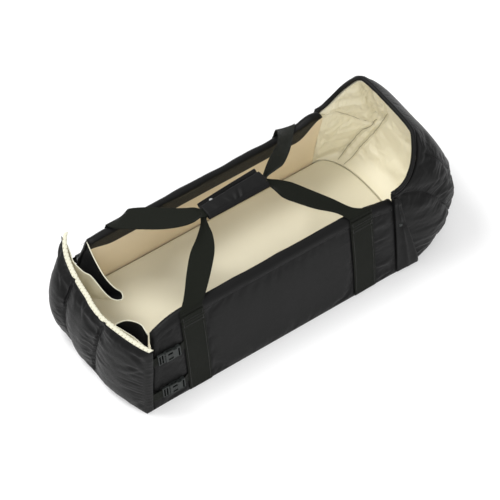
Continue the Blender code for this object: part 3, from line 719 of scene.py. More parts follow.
class Graph:
    """Node tree of one material."""

    def __init__(self, name: str) -> None:
        """Start an empty material.

        Args:
            name: Name of the material.
        """
        self.material = bpy.data.materials.new(name)
        self.material.use_nodes = True
        self.tree = self.material.node_tree
        self.tree.nodes.clear()

    def add(self, kind: str, settings: dict | None = None, inputs: dict | None = None) -> bpy.types.Node:
        """Node of a type.

        Args:
            kind: Blender's node type.
            settings: Attributes of the node, set first.
            inputs: Values, terms or sockets by input name or number.

        Returns:
            The node.
        """
        node = self.tree.nodes.new(kind)
        for key, value in (settings or {}).items():
            setattr(node, key, value)
        for key, value in (inputs or {}).items():
            if isinstance(value, Term):
                value = value.socket
            if isinstance(value, Socket):
                self.tree.links.new(value, node.inputs[key])
            else:
                node.inputs[key].default_value = value
        return node

    def math(self, operation: str, *values: "Term | float") -> Term:
        """Math node on one to three values."""
        node = self.add("ShaderNodeMath", {"operation": operation}, dict(enumerate(values)))
        return Term(self, node.outputs[0])

    def uv(self) -> tuple[Term, Term]:
        """The two parts of the piece's own UV map, in metres.

        Returns:
            Both parts.
        """
        spot = self.add("ShaderNodeUVMap", {"uv_map": "weave"})
        parts = self.add("ShaderNodeSeparateXYZ", None, {0: spot.outputs[0]})
        return Term(self, parts.outputs[0]), Term(self, parts.outputs[1])

    def place(self) -> Socket:
        """Object coordinates."""
        return self.add("ShaderNodeTexCoord").outputs["Object"]

    def noise(self, scale: float, detail: float = 3.0, where: Socket | None = None) -> Term:
        """Noise over the object, from 0 to 1."""
        node = self.add("ShaderNodeTexNoise", None, {"Vector": where or self.place(), "Scale": scale, "Detail": detail})
        return Term(self, node.outputs[0])

    def mix(self, share: "Term | float", one: tuple, two: tuple) -> Socket:
        """Colour between two colours or sockets."""
        node = self.add("ShaderNodeMix", {"data_type": "RGBA"}, {0: share, 6: one, 7: two})
        return node.outputs[2]

    def ripple(self, run: Term, pitch: float) -> Term:
        """Sine along a length, one wave for each pitch."""
        return self.math("SINE", run * (2 * pi / pitch))

    def threads(self, pitch: float) -> Term:
        """Crossing threads of a plain weave, from 0 to 1."""
        u, v = self.uv()
        return self.ripple(u, pitch) * self.ripple(v, pitch) * 0.5 + 0.5

    def tones(self, share: Term, code: str, low: float, high: float) -> Socket:
        """Colour that wanders between two shades of a colour code."""
        return self.mix(share, shade(code, low), shade(code, high))

    def bump(self, height: Term, depth: float, strength: float = 1.0, under: Socket | None = None) -> Socket:
        """Normal from a height in metres.

        Args:
            height: Height as a number.
            depth: Metres for a height of 1.
            strength: Share of its effect.
            under: Normal that it is laid on.

        Returns:
            The normal.
        """
        inputs = {"Height": height * depth, "Strength": strength, "Distance": 1.0}
        if under is not None:
            inputs["Normal"] = under
        return self.add("ShaderNodeBump", None, inputs).outputs[0]

    def surface(self, inputs: dict) -> bpy.types.Material:
        """Principled shader with its inputs, joined to the output.

        Args:
            inputs: Values, terms or sockets by name.

        Returns:
            The material.
        """
        shader = self.add("ShaderNodeBsdfPrincipled", None, inputs)
        self.add("ShaderNodeOutputMaterial", None, {0: shader.outputs[0]})
        return self.material


def shade(code: str, factor: float) -> tuple[float, float, float, float]:
    """Colour for a shader from a six-figure colour code, made darker or lighter by a factor.

    Args:
        code: Two figures for each channel.
        factor: Above 1 it is lighter.

    Returns:
        The four channels.
    """
    parts = [int(code[i : i + 2], 16) / 255 for i in (0, 2, 4)]
    flat = [p / 12.92 if p <= 0.04045 else ((p + 0.055) / 1.055) ** 2.4 for p in parts]
    return (*(min(p * factor, 1.0) for p in flat), 1.0)


MADE: dict[str, bpy.types.Material] = {}


@dataclass(frozen=True)
class Finish:
    """Finish of one colour, whose material is built once."""

    name: str
    code: str
    slot: Slot | None = None  # slot of the record that it matches

    def inputs(self, g: Graph) -> dict:
        """Inputs of the shader by name."""
        raise NotImplementedError

    def material(self) -> bpy.types.Material:
        """Material of the finish.

        Returns:
            The material, built at the first call.
        """
        if self.name not in MADE:
            g = Graph(self.name)
            MADE[self.name] = g.surface(self.inputs(g))
        return MADE[self.name]


@dataclass(frozen=True)
class WovenCloth(Finish):
    """Plain weave cloth: fine crossing threads, faint slubs and soft creases."""

    pitch: float = 0.7 * MM
    depth: float = 0.05 * MM
    roughness: float = 0.75
    sheen: float = 0.2  # strength of the soft edge light
    variation: float = 0.08  # how much the colour wanders
    crease: float = 0.25 * MM  # height of faint creases
    specular: float = 0.2

    def inputs(self, g: Graph) -> dict:
        """Threads over creases, in a colour that wanders.

        Args:
            g: Graph of the material.

        Returns:
            The inputs by name.
        """
        threads = g.threads(self.pitch)
        slub = g.noise(220.0, 2.0)
        base = g.tones(g.noise(14.0, 4.0), self.code, 1 - self.variation, 1 + self.variation)
        creases = g.bump(g.noise(38.0, 3.0), self.crease, 0.6)
        return {
            "Base Color": g.mix(threads * 0.5, base, shade(self.code, 0.72)),
            "Roughness": self.roughness + (slub - 0.5) * 0.12,
            "Normal": g.bump(threads + slub * 0.6, self.depth, 0.8, creases),
            "Sheen Weight": self.sheen,
            "Sheen Roughness": 0.5,
            "Specular IOR Level": self.specular,
        }


@dataclass(frozen=True)
class RibbedCloth(Finish):
    """Cloth with fine upright ribs over a finer knit."""

    pitch: float = 2.2 * MM
    knit_pitch: float = 1.1 * MM
    depth: float = 0.22 * MM
    roughness: float = 0.8

    def inputs(self, g: Graph) -> dict:
        """Ribs, with painted shade between them.

        Args:
            g: Graph of the material.

        Returns:
            The inputs by name.
        """
        u, v = g.uv()
        rib = g.ripple(u, self.pitch) * 0.5 + 0.5
        knit = g.ripple(v, self.knit_pitch) * 0.5 + 0.5
        base = g.tones(g.noise(20.0), self.code, 0.95, 1.05)
        return {
            # painted shade: the grooves between the ribs are darkened
            "Base Color": g.mix((1 - rib) * 0.6, base, shade(self.code, 0.86)),
            "Roughness": self.roughness,
            "Normal": g.bump(rib + knit * 0.2, self.depth, 0.9),
            "Sheen Weight": 0.15,
        }


@dataclass(frozen=True)
class Satin(Finish):
    """Smooth lining cloth with a soft shine and fine puckers."""

    pitch: float = 0.8 * MM
    depth: float = 0.03 * MM
    pucker: float = 1.1 * MM
    pucker_scale: Triple = (14.0, 14.0, 60.0)
    roughness: float = 0.5

    def inputs(self, g: Graph) -> dict:
        """Fine threads over puckers that are drawn out sideways.

        Args:
            g: Graph of the material.

        Returns:
            The inputs by name.
        """
        drawn = g.add("ShaderNodeMapping", None, {0: g.place(), 3: self.pucker_scale})
        puckers = g.noise(1.0, 4.0, drawn.outputs[0])
        height = g.bump(puckers, self.pucker, 0.7)
        return {
            "Base Color": g.tones(g.noise(11.0, 3.0), self.code, 0.95, 1.05),
            "Roughness": self.roughness + (puckers - 0.5) * 0.15,
            "Normal": g.bump(g.threads(self.pitch), self.depth, 0.6, height),
            "Sheen Weight": 0.1,
            "Specular IOR Level": 0.5,
        }


@dataclass(frozen=True)
class Webbing(Finish):
    """Woven strap: fine cords along it, crossed by slanted picks."""

    pitch: float = 1.1 * MM
    cords: float = 1.35
    depth: float = 0.16 * MM

    def inputs(self, g: Graph) -> dict:
        """Picks and cords with painted shade: darker in their hollows, lighter where they rise, with a little fuzz.

        Args:
            g: Graph of the material.

        Returns:
            The inputs by name.
        """
        u, v = g.uv()
        picks = g.ripple(u + g.math("ABSOLUTE", v) * 0.8, self.pitch)
        weave = picks * 0.35 + g.ripple(v, self.pitch / self.cords) * 0.3 + 0.5
        fuzz = g.noise(400.0, 2.0)
        base = g.tones(g.noise(30.0, 3.0), self.code, 0.85, 1.2)
        return {
            # painted shade: the weave's hollows are darkened
            "Base Color": g.mix(weave * 0.6, shade(self.code, 0.55), base),
            "Roughness": 0.72 + (fuzz - 0.5) * 0.2,
            "Normal": g.bump(weave + fuzz * 0.3, self.depth, 0.9),
            "Sheen Weight": 0.05,
            "Sheen Roughness": 0.4,
            "Specular IOR Level": 0.12,
        }


@dataclass(frozen=True)
class Moulding(Finish):
    """Moulded plastic with a fine spark texture and a painted highlight on its sharp edges."""

    depth: float = 0.03 * MM
    # pointiness above which the painted highlight is laid
    edge: float = 0.56

    def inputs(self, g: Graph) -> dict:
        """Spark texture, with a painted highlight on sharp edges.

        Args:
            g: Graph of the material.

        Returns:
            The inputs by name.
        """
        grain = g.noise(1800.0, 2.0)
        base = g.tones(g.noise(60.0, 3.0), self.code, 0.9, 1.15)
        sharp = Term(g, g.add("ShaderNodeNewGeometry").outputs["Pointiness"])
        # painted highlight: sharp edges get a much lighter base colour
        painted_edge_highlight = g.math("GREATER_THAN", sharp, self.edge) * 0.35
        return {
            "Base Color": g.mix(painted_edge_highlight, base, shade(self.code, 1.9)),
            "Roughness": 0.48 + (grain - 0.5) * 0.2,
            "Normal": g.bump(grain, self.depth, 0.8),
            "Specular IOR Level": 0.3,
        }


@dataclass(frozen=True)
class BrushedSteel(Finish):
    """Pressed bright metal of the studs, faintly spun."""

    depth: float = 0.02 * MM

    def inputs(self, g: Graph) -> dict:
        """Bright metal with fine streaks.

        Args:
            g: Graph of the material.

        Returns:
            The inputs by name.
        """
        streak = g.noise(900.0, 2.0)
        return {
            "Base Color": g.tones(streak, self.code, 0.85, 1.05),
            "Metallic": 1.0,
            "Roughness": 0.22 + streak * 0.15,
            "Normal": g.bump(streak, self.depth, 0.5),
        }


CORD = {"pitch": 0.4 * MM, "crease": 0.02 * MM}
PALE = {"pitch": 0.9 * MM, "sheen": 0.1}
OUTER = WovenCloth("outer_cloth", "0f0f0f", Slot.OUTER, roughness=0.46, sheen=0.01, crease=0.7 * MM, specular=0.12)
CREAM = WovenCloth("mattress_cloth", "ddd7c0", Slot.CREAM, variation=0.03, crease=0.12 * MM, **PALE)
PIPING = WovenCloth("piping_cloth", "cbc9b6", Slot.CREAM, variation=0.05, crease=0.5 * MM, **PALE)
LINING = Satin("lining_satin", "ddd7bf", Slot.LINING)
RIBBED = RibbedCloth("ribbed_lining", "e0cfae", Slot.RIBBED)
STRAP = Webbing("strap_webbing", "10130b", Slot.WEBBING)
PLASTIC = Moulding("buckle_moulding", "1f2221")
BOARD = Moulding("board", "1a1a1a")
METAL = BrushedSteel("stud_steel", "c9cac8")
THREAD = WovenCloth("dark_thread", "303030", Slot.OUTER, **CORD)
# dark cord colour: painted shade of the lining's seam furrows
SEAM_SHADE = WovenCloth("seam_shade", "a0977a", Slot.LINING, **CORD)
PALE_THREAD = WovenCloth("pale_thread", "a8a28a", Slot.CREAM, **CORD)


def paint(made: Piece, kind: Finish) -> None:
    """Give a piece or a CAD node one finish."""
    made.data.materials.clear()
    made.data.materials.append(kind.material())


def dress(
    made: Piece, kind: Finish, body: Body | None, replaced: tuple[str, ...] = ()
) -> Piece:
    """Give a piece its finish, its body and the nodes that it stands for.

    Args:
        made: The piece.
        kind: Its finish.
        body: Body that it rides on, or None where it bends between two.
        replaced: CAD nodes that it replaces.

    Returns:
        The piece.
    """
    paint(made, kind)
    if body is not None:
        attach(made, body.value)
    if replaced:
        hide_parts(*replaced)
    log.info("%s: %d points", made.name, len(made.data.vertices))
    return made


# Stitches


@dataclass(frozen=True)
class StitchRow:
    """Row of stitches along a line, made by a node tree."""

    pitch: float = 3.6 * MM
    length: float = 2.6 * MM
    radius: float = 0.32 * MM

    def tree(self) -> bpy.types.NodeTree:
        """Node tree: resampled curve, a small bar at each point, made real.

        Returns:
            The tree.
        """
        tree = bpy.data.node_groups.new("stitch_row", "GeometryNodeTree")
        face = tree.interface
        for name, kind in STITCH_INPUTS.items():
            face.new_socket(name, in_out="INPUT", socket_type=f"NodeSocket{kind}")
        face.new_socket("Geometry", in_out="OUTPUT", socket_type="NodeSocketGeometry")
        nodes = {key: tree.nodes.new(kind) for key, kind in STITCH_NODES.items()}
        nodes["sample"].mode = "LENGTH"
        nodes["bar"].inputs["Vertices"].default_value = 5
        nodes["turn"].axis = "Z"
        for start, out, end, into in STITCH_LINKS:
            tree.links.new(nodes[start].outputs[out], nodes[end].inputs[into])
        return tree

    def sew(self, name: str, lines: list[Array], kind: Finish) -> Piece:
        """Stitches along lines as one plain mesh.

        Args:
            name: Name of the piece.
            lines: Point rows that the stitches follow.
            kind: Finish of the thread.

        Returns:
            The piece, not yet dressed.
        """
        curve = bpy.data.curves.new(name, "CURVE")
        curve.dimensions = "3D"
        for line in lines:
            spline = curve.splines.new("POLY")
            spline.points.add(len(line) - 1)
            flat = np.concatenate([line, np.ones((len(line), 1))], axis=1)
            spline.points.foreach_set("co", flat.astype(np.float32).ravel())
        holder = placed(name + "_line", curve)
        tree = bpy.data.node_groups.get("stitch_row") or self.tree()
        step = holder.modifiers.new("stitches", "NODES")
        step.node_group = tree
        wanted = {"Pitch": self.pitch, "Length": self.length, "Radius": self.radius, "Material": kind.material()}
        for item in tree.interface.items_tree:
            if item.in_out == "INPUT" and item.name in wanted:
                step[item.identifier] = wanted[item.name]
        bpy.context.view_layer.update()
        graph = bpy.context.evaluated_depsgraph_get()
        mesh = bpy.data.meshes.new_from_object(holder.evaluated_get(graph))
        mesh.name = name
        bpy.data.objects.remove(holder)
        if not mesh.uv_layers:
            mesh.uv_layers.new(name="weave")
        mesh.uv_layers[0].name = "weave"
        mesh.shade_smooth()
        return placed(name, mesh)


STITCH_INPUTS = {"Geometry": "Geometry", "Pitch": "Float", "Length": "Float", "Radius": "Float", "Material": "Material"}
STITCH_NODES = {
    "entry": "NodeGroupInput",
    "sample": "GeometryNodeResampleCurve",
    "bar": "GeometryNodeMeshCylinder",
    "tangent": "GeometryNodeInputTangent",
    "turn": "FunctionNodeAlignRotationToVector",
    "spread": "GeometryNodeInstanceOnPoints",
    "real": "GeometryNodeRealizeInstances",
    "paint": "GeometryNodeSetMaterial",
    "leave": "NodeGroupOutput",
}
STITCH_LINKS = (
    ("entry", "Geometry", "sample", "Curve"),
    ("entry", "Pitch", "sample", "Length"),
    ("entry", "Radius", "bar", "Radius"),
    ("entry", "Length", "bar", "Depth"),
    ("tangent", 0, "turn", "Vector"),
    ("sample", 0, "spread", "Points"),
    ("bar", "Mesh", "spread", "Instance"),
    ("turn", 0, "spread", "Rotation"),
    ("spread", 0, "real", 0),
    ("real", 0, "paint", "Geometry"),
    ("entry", "Material", "paint", "Material"),
    ("paint", 0, "leave", 0),
)
SEWING = StitchRow()


# Shapes that several pieces share


@dataclass(frozen=True)
class CotSizes:
    """Sizes of the cot, in metres, as its solids have them."""

    base_width: float = 0.310
    top_width: float = 0.252
    height: float = 0.216
    wall_top: float = 0.018
    wall_low: float = 0.011
    belly: float = 0.003  # how far a long side swells out
    foot_end: float = 0.352  # distance of the long sides' foot ends from the origin
    hood_seam: float = 0.228
    gap: float = 0.0003  # room between two pieces
    floor: float = 0.0033
    hem: float = 0.048
    mattress_low: float = 0.0066
    mattress_top: float = 0.049
    mattress_head: float = 0.060
    strap: float = 0.050  # width of the handles' webbing
    webbing: float = 0.0018  # thickness of that webbing
    bands: tuple[tuple[str, float], ...] = (("foot", -0.241), ("head", 0.150))  # places of its sewn bands
    grip_height: float = 0.286
    grip_middle: float = -0.055
    grip_length: float = 0.138

    @property
    def low(self) -> float:
        """Height at which the cloths of the long sides start."""
        return self.floor + 0.001

    def outside(self, z: Array) -> Array:
        """Half width of the outer face at height z.

        Args:
            z: Heights.

        Returns:
            Half width at each.
        """
        share = np.minimum(z / self.height, 1.0)
        lean = (self.base_width - self.top_width) / 2 * z / self.height
        return self.base_width / 2 - lean + self.belly * np.sin(pi * share)

    def inside(self, z: Array) -> Array:
        """Half width between the inner faces at height z."""
        share = np.minimum(z / self.height, 1.0)
        return self.outside(z) - between(self.wall_low, self.wall_top, share)


COT = CotSizes()


SIDE_TOPS = {
    Side.NEAR: (
        *((-0.352, 0.18), (-0.33, 0.196), (-0.3, 0.209), (-0.262, 0.2145), (-0.22, 0.216)),
        *((0.12, 0.2155), (0.16, 0.2125), (0.195, 0.204), (0.228, 0.198)),
    ),
    Side.FAR: (
        *((-0.352, 0.211), (-0.3, 0.215), (-0.22, 0.216), (0.08, 0.2165), (0.16, 0.219)),
        *((0.18, 0.224), (0.196, 0.232), (0.214, 0.233), (0.228, 0.226)),
    ),
}
SLANT = np.array([[0.8, 0.0, 0.25], [0.0, 1.0, 0.0], [-0.9, 0.0, 1.2]])


@dataclass
class LongSide:
    """Padded long side with its ribbed lining, sewn bands and stitching."""

    side: Side
    stitch_drop: float = 0.019  # distance of the top stitching below the top
    inset: float = 0.0035  # distance of a band's stitching inside its edges

    def top(self, x: Array) -> Array:
        """Height of the top: lower at the near side's ends, higher before the hood on the far side."""
        return profile(x, SIDE_TOPS[self.side])

    def crest(self, x: Array) -> Array:
        """Height of the middle of the rolled top."""
        return self.top(x) - COT.wall_top / 2

    def hem(self, x: Array) -> Array:
        """Height of the hem inside, which runs up to the top at the head end.

        Args:
            x: Places along the side.

        Returns:
            Height at each.
        """
        low = COT.height - COT.hem
        foot_rise = ease((-0.255 - x) / 0.06) * self.side.pick(0.004, 0.020)
        return low + foot_rise + (self.top(x) - low - 0.009) * ease((x - 0.168) / 0.060) ** 1.5

    def face(self, x: Array, z: Array, proud: float | Array = 0.0) -> Array:
        """Points of the outer face, or at a height off it."""
        return points_of(x, self.side.sign * (COT.outside(z) + proud), z)

    def line(self, x0: float, x1: float, z0: float, z1: float, proud: float = 0.0, count: int = 60) -> Array:
        """Row of points on the outer face from one place to another."""
        share = np.linspace(0.0, 1.0, count)
        return self.face(between(x0, x1, share), between(z0, z1, share), proud)

    def foot_end(self, z: Array) -> Array:
        """How far the foot end reaches at height z: it leans in towards its top."""
        lean, power = self.side.pick((0.027, 1.2), (0.038, 1.6))
        return -COT.foot_end + 0.001 + lean * np.clip(z / COT.height, 0.0, 1.0) ** power

    def lumps(self, spots: Array) -> Array:
        """Unevenness of the rolled top."""
        wave = Wave(self.side.pick(0.8, 1.5) * MM, 0.034, self.side.pick(18, 17))
        return ease((spots[:, 2] - self.top(spots[:, 0]) + 0.016) / 0.010) * wave.at(spots)

    def build(self) -> None:
        """Make all of its pieces."""
        self.padding()
        self.lining()
        for name, middle in COT.bands:
            self.band(name, middle)
        self.stitching()

    def seams(self) -> list[Seam]:
        """Lines that draw the cover in: beside the bands, below the top and at the foot end.

        Returns:
            The seams.
        """
        made = []
        for _, middle in COT.bands:
            for at in (middle - COT.strap / 2, middle + COT.strap / 2):
                line = self.line(at, at, COT.floor, COT.height - 0.02)
                made.append(Seam(line, depth=0.9 * MM, pitch=16 * MM, seed=3))
        xs = np.linspace(-COT.foot_end, COT.hood_seam, 90)
        line = self.face(xs, self.top(xs) - self.stitch_drop)
        made.append(Seam(line, 1.0 * MM, 2.4 * MM, pucker=0.6 * MM, reach=14 * MM, pitch=14 * MM, seed=5))
        line = self.line(-0.331, -0.314, COT.floor, COT.height - 0.03)
        made.append(Seam(line, 0.6 * MM, 2 * MM, pucker=0.4 * MM, seed=8))
        return made

    def padding(self) -> None:
        """Black cover over its foam, rolled over the top."""
        label, sign = self.side.value, self.side.sign
        u, v = lattice(236, 92)
        zs = between(COT.low, self.crest(between(-COT.foot_end, COT.hood_seam, u)), v)
        thick = (COT.outside(zs) - COT.inside(zs)) / 2
        xs = between(self.foot_end(zs) + thick, COT.hood_seam - 0.3 * thick, u)
        zs = between(COT.low, self.crest(xs), v)
        step = 2.3 * MM * ease((self.hem(xs) - zs) / 0.004)
        back = points_of(xs, sign * (COT.inside(zs) + step), zs)
        seams = self.seams()
        filling = Filling(-sign * 1.2, 0.012, 2.2 * MM, 16, 0.5)
        front = filling.settle(f"{label} side", self.face(xs, zs), seams)

        def lift(spots: Array) -> Array:
            """Soft waves, with creases at the head end and the foot end, and the seams.

            Args:
                spots: Places, one row each.

            Returns:
                Height of each.
            """
            head = ease((spots[:, 0] - 0.165) / 0.02)
            foot = ease((-0.28 - spots[:, 0]) / 0.02)
            slanted = spots @ SLANT
            return (
                Wave(0.6 * MM, 0.045, 11, (1.0, 1.0, 0.6)).at(spots)
                + head * Wave(2.2 * MM, 0.022, 13, (0.35, 1.0, 1.0)).at(slanted)
                + head * Wave(0.8 * MM, 0.011, 15, (0.5, 1.0, 1.0)).at(slanted)
                + foot * Wave(0.8 * MM, 0.025, 14).at(slanted)
                + sum(seam.lift(spots) for seam in seams)
            )

        front = front + rise(front, lift, border_fade(u, v, 20, 8, 16), -sign)
        made = pad(f"{label}_side_pad", front, back, rings=9)
        keep_between(made, 0, high=COT.hood_seam - COT.gap)
        keep_between(made, 2, low=COT.floor)
        ruffle(made, self.lumps)
        dress(made, OUTER, Body.COT, (f"{label}_side_cover", f"{label}_side_board"))

    def lining(self) -> None:
        """Ribbed lining below the black hem."""
        label, sign = self.side.value, self.side.sign
        u, v = lattice(110, 30)
        rough = between(COT.low, COT.height - COT.hem, v)
        xs = between(self.foot_end(rough + 0.012) + 0.010, COT.hood_seam + 0.0025, u)
        hem = self.hem(xs)
        zs = between(COT.low, hem, v)
        sag = 0.36 * MM * ease((zs - hem + 0.02) / 0.02)
        wave = Wave(0.5 * MM, 0.06, self.side.pick(22, 21), (1.0, 1.0, 0.5)).at(points_of(xs, 0.0, zs))
        front = points_of(xs, sign * (COT.inside(zs) + np.maximum(wave, 0.0) + sag), zs)
        back = points_of(xs, sign * (COT.inside(zs) + 2 * MM), zs)
        made = pad(f"{label}_ribbed_lining", front, back, rings=2, bulge=0.6)
        dress(made, RIBBED, Body.COT, (f"{label}_side_lining",))
        flat = (COT.height - COT.hem, COT.foot_end + COT.hood_seam)

    def strap(self, name: str, xs: Array, zs: Array, proud: Array, thick: float | Array) -> Piece:
        """Length of webbing on the outer face.

        Args:
            name: Name of the piece.
            xs: Places of its grid along the side.
            zs: Heights of its grid.
            proud: Height of its outer face off the side.
            thick: Its thickness.

        Returns:
            The webbing, not yet dressed.
        """
        return pad(name, self.face(xs, zs, proud), self.face(xs, zs, proud - thick), bulge=0.8)

    def band(self, name: str, middle: float) -> None:
        """Webbing sewn down the outside, and the turned end of the handle on it.

        Args:
            name: Name of the band.
            middle: Place of its middle along the side.
        """
        label = self.side.value
        across = COT.strap * np.linspace(-0.5, 0.5, 13)
        xs, zs = np.meshgrid(middle + across, np.linspace(COT.low, COT.height, 60))
        bow = Wave(0.5 * MM, 0.04, self.side.pick(31, 32), (0.4, 1.0, 1.0)).at(points_of(xs, 0.0, zs))
        proud = COT.gap + COT.webbing + 0.3 * MM + np.maximum(bow, -0.2 * MM)
        made = self.strap(f"{label}_sewn_band_{name}", xs, zs, proud, COT.webbing)
        dress(made, STRAP, Body.COT, (f"{label}_band_{name}",))
        low, high = COT.height - 0.036, COT.height - 0.009
        xs, zs = np.meshgrid(middle + across * 0.98, np.linspace(low, high, 16))
        ridge = 0.7 * MM * bell(zs - low - 0.012, 0.003)
        proud = COT.gap + 2 * COT.webbing + 0.5 * MM + ridge
        made = self.strap(f"{label}_turned_end_{name}", xs, zs, proud, COT.webbing + ridge)
        dress(made, STRAP, Body.COT)

    def stitching(self) -> None:
        """Rows of stitches below the top, along the bands and across the turned ends."""
        xs = np.linspace(-COT.foot_end + 0.032, COT.hood_seam - 0.006, 200)
        rows = [self.face(xs, self.top(xs) - self.stitch_drop, 0.1 * MM)]
        half = COT.strap / 2 - self.inset
        for _, middle in COT.bands:
            for at in (middle - half, middle + half):
                rows.append(self.line(at, at, COT.floor + 0.004, COT.height - 0.045, COT.webbing + 0.9 * MM))
                rows.append(self.line(at, at, COT.height - 0.034, COT.height - 0.012, 2 * COT.webbing + 1.1 * MM))
            for z in (COT.height - 0.033, COT.height - 0.020):
                rows.append(self.line(middle - half, middle + half, z, z, 2 * COT.webbing + 1.3 * MM))
        dress(SEWING.sew(f"{self.side.value}_side_stitches", rows, THREAD), THREAD, Body.COT)


@dataclass
class Hood:
    """Padded hood: quilted shell, puckered lining, rolled rim, pleats and their snaps."""

    floor_reach: float = 0.157  # how far it reaches past its seam at the floor
    belly_reach: float = 0.193  # control value of its reach halfway up
    rim_reach: float = 0.087  # how far it reaches at the rim
    height: float = 0.309
    swell: float = 0.0075  # how far the outer skin puffs out
    spread: float = 0.004  # how far the rim stands out beside the long sides
    lip: float = 0.008  # distance between the two skins at the rim
    inner_low: float = 0.140  # lower control value of the inner skin's reach
    inner_high: float = 0.165  # upper control value of that reach
    powers: Triple = (2.4, 7.0, 4.2)  # squareness of the outer skin at the floor, halfway and at the rim
    inner_powers: tuple[float, float] = (2.4, 3.2)  # squareness of the inner skin, low and high
    rim_radius: float = 0.0048
    rim_fall: float = 1.3  # how fast the rim falls to the long sides
    columns: int = 300
    rows: int = 150
    outer_seams: tuple = (  # shares across and up of the shell's seams, on one half
        (
            *((0.179, 0.993), (0.213, 0.887), (0.242, 0.772), (0.275, 0.647)),
            *((0.3, 0.526), (0.33, 0.35), (0.36, 0.15), (0.37, 0.0)),
        ),
        (
            *((0.004, 0.965), (0.05, 0.947), (0.093, 0.869), (0.126, 0.777), (0.158, 0.661)),
            *((0.186, 0.551), (0.208, 0.438), (0.259, 0.246), (0.285, 0.1), (0.3, 0.0)),
        ),
    )
    inner_seams: tuple = (  # the same of the lining
        ((0.985, 0.97), (0.95, 0.925), (0.898, 0.863), (0.816, 0.684), (0.768, 0.6), (0.712, 0.57)),
        ((0.875, 0.16), (0.833, 0.3), (0.787, 0.427), (0.761, 0.489), (0.721, 0.548), (0.7, 0.6)),
        ((0.85, 0.13), (0.808, 0.222), (0.76, 0.353), (0.717, 0.467), (0.675, 0.61), (0.651, 0.695)),
    )
    # Deep fold of the lining.
    valley: tuple = ((0.758, 0.97), (0.745, 0.90), (0.729, 0.80), (0.701, 0.69), (0.695, 0.63))
    overhang: tuple = (  # fold that hangs over it
        *((0.725, 0.965), (0.7, 0.91), (0.673, 0.862), (0.65, 0.786)),
        *((0.642, 0.706), (0.666, 0.63), (0.707, 0.578)),
    )

    def superellipse(self, angle: Array, reach: Array, half: Array, power: Array) -> tuple:
        """Points of a superellipse at polar angles.

        Args:
            angle: Polar angles.
            reach: Half length along X.
            half: Half width along Y.
            power: Squareness, 2 for an ellipse.

        Returns:
            Places along X and along Y.
        """
        x, y = np.cos(angle), np.sin(angle)
        radius = (np.abs(x / reach) ** power + np.abs(y / half) ** power) ** (-1.0 / power)
        return radius * x, radius * y

    def rim_height(self, angle: Array) -> Array:
        """Height of the rim round the hood."""
        turn = np.minimum((pi / 2 - np.abs(angle)) / (pi / 4), 1.0)
        return between(COT.height, self.height, ease(np.maximum(turn, 0.0) ** self.rim_fall))

    def outer(self, u: Array, v: Array) -> Array:
        """Outer skin: u round the head end, v from the floor to the rim.

        Args:
            u: Shares round the head end.
            v: Shares of the height.

        Returns:
            Points of the skin.
        """
        angle = pi * (u - 0.5)
        reach = quadratic((self.floor_reach, self.belly_reach, self.rim_reach), v)
        half = COT.outside(between(COT.floor, COT.height, v)) + self.spread * v * v
        x, y = self.superellipse(angle, reach, half, quadratic(self.powers, v))
        puff = self.swell * np.sin(pi * v) * (1.0 - np.abs(np.sin(angle)) ** 8)
        z = between(COT.floor, self.rim_height(angle), v)
        return points_of(COT.hood_seam + x + puff * np.cos(angle), y + puff * np.sin(angle), z)

    def inner(self, u: Array, v: Array) -> Array:
        """Visible face of the lining, from behind the mattress up to the rim.

        Args:
            u: Shares round the head end.
            v: Shares of the height.

        Returns:
            Points of the skin.
        """
        tuck = 0.12
        angle = pi * (u - 0.5)
        low = COT.mattress_top + 0.0008
        top = self.rim_height(angle)
        t = np.maximum((v - tuck) / (1.0 - tuck), 0.0)
        climb = top - low
        z = cubic((low, low + climb * 0.04, low + climb * 0.52, top), t)
        z = np.where(v < tuck, between(COT.mattress_low, low, v / tuck), z)
        wall = COT.inside(np.minimum(z, COT.height))
        half = between(wall, COT.outside(COT.height) + self.spread - self.lip, t**3)
        reaches = (COT.mattress_head, self.inner_low, self.inner_high, self.rim_reach - self.lip)
        x, y = self.superellipse(angle, cubic(reaches, t), half, between(*self.inner_powers, t))
        return points_of(COT.hood_seam + x, y, z)

    def normals(self, u: Array, v: Array, step: float = 0.003) -> Array:
        """Outward normals of the outer skin, from places a small step apart.

        Args:
            u: Shares round the head end.
            v: Shares of the height.
            step: Size of the step.

        Returns:
            One normal for each place.
        """
        across = self.outer(np.minimum(u + step, 1), v) - self.outer(np.maximum(u - step, 0), v)
        up = self.outer(u, np.minimum(v + step, 1)) - self.outer(u, np.maximum(v - step, 0))
        return unit(np.cross(across, up))

    def build(self) -> None:
        """Make all of its pieces."""
        self.shell()
        self.lining()
        self.rim()
        for side in Side:
            self.pleat(side)

    def grids(self, past: float = 0.0) -> tuple[Grid, Grid, Grid]:
        """Grids of the two skins and of what parts them: nearly all is black beside the long sides.

        Args:
            past: Share of the thickness that is added on the black side.

        Returns:
            The outer, the inner and the parting grid.
        """
        u, v = lattice(self.columns, self.rows)
        split = 0.5 + 0.42 * (1.0 - ease(np.minimum(u, 1.0 - u) * 36)) + past
        u = between(0.006, 0.994, u)
        front, back = self.outer(u, v), self.inner(u, v)
        return front, back, front + (back - front) * split[..., None]

    def runs(self, table: tuple, count: int) -> Iterator[tuple[int, bool, Array, Array]]:
        """Seams of a table on both halves.

        Args:
            table: Shares across and up of each seam.
            count: Points along a seam.

        Returns:
            For each seam its number, whether it is mirrored, and its shares across and up.
        """
        for number, places in enumerate(table):
            across, up = smooth_run(np.array(places), np.linspace(0.0, 1.0, count)).T
            for mirrored in (False, True):
                yield number, mirrored, 1.0 - across if mirrored else across, up

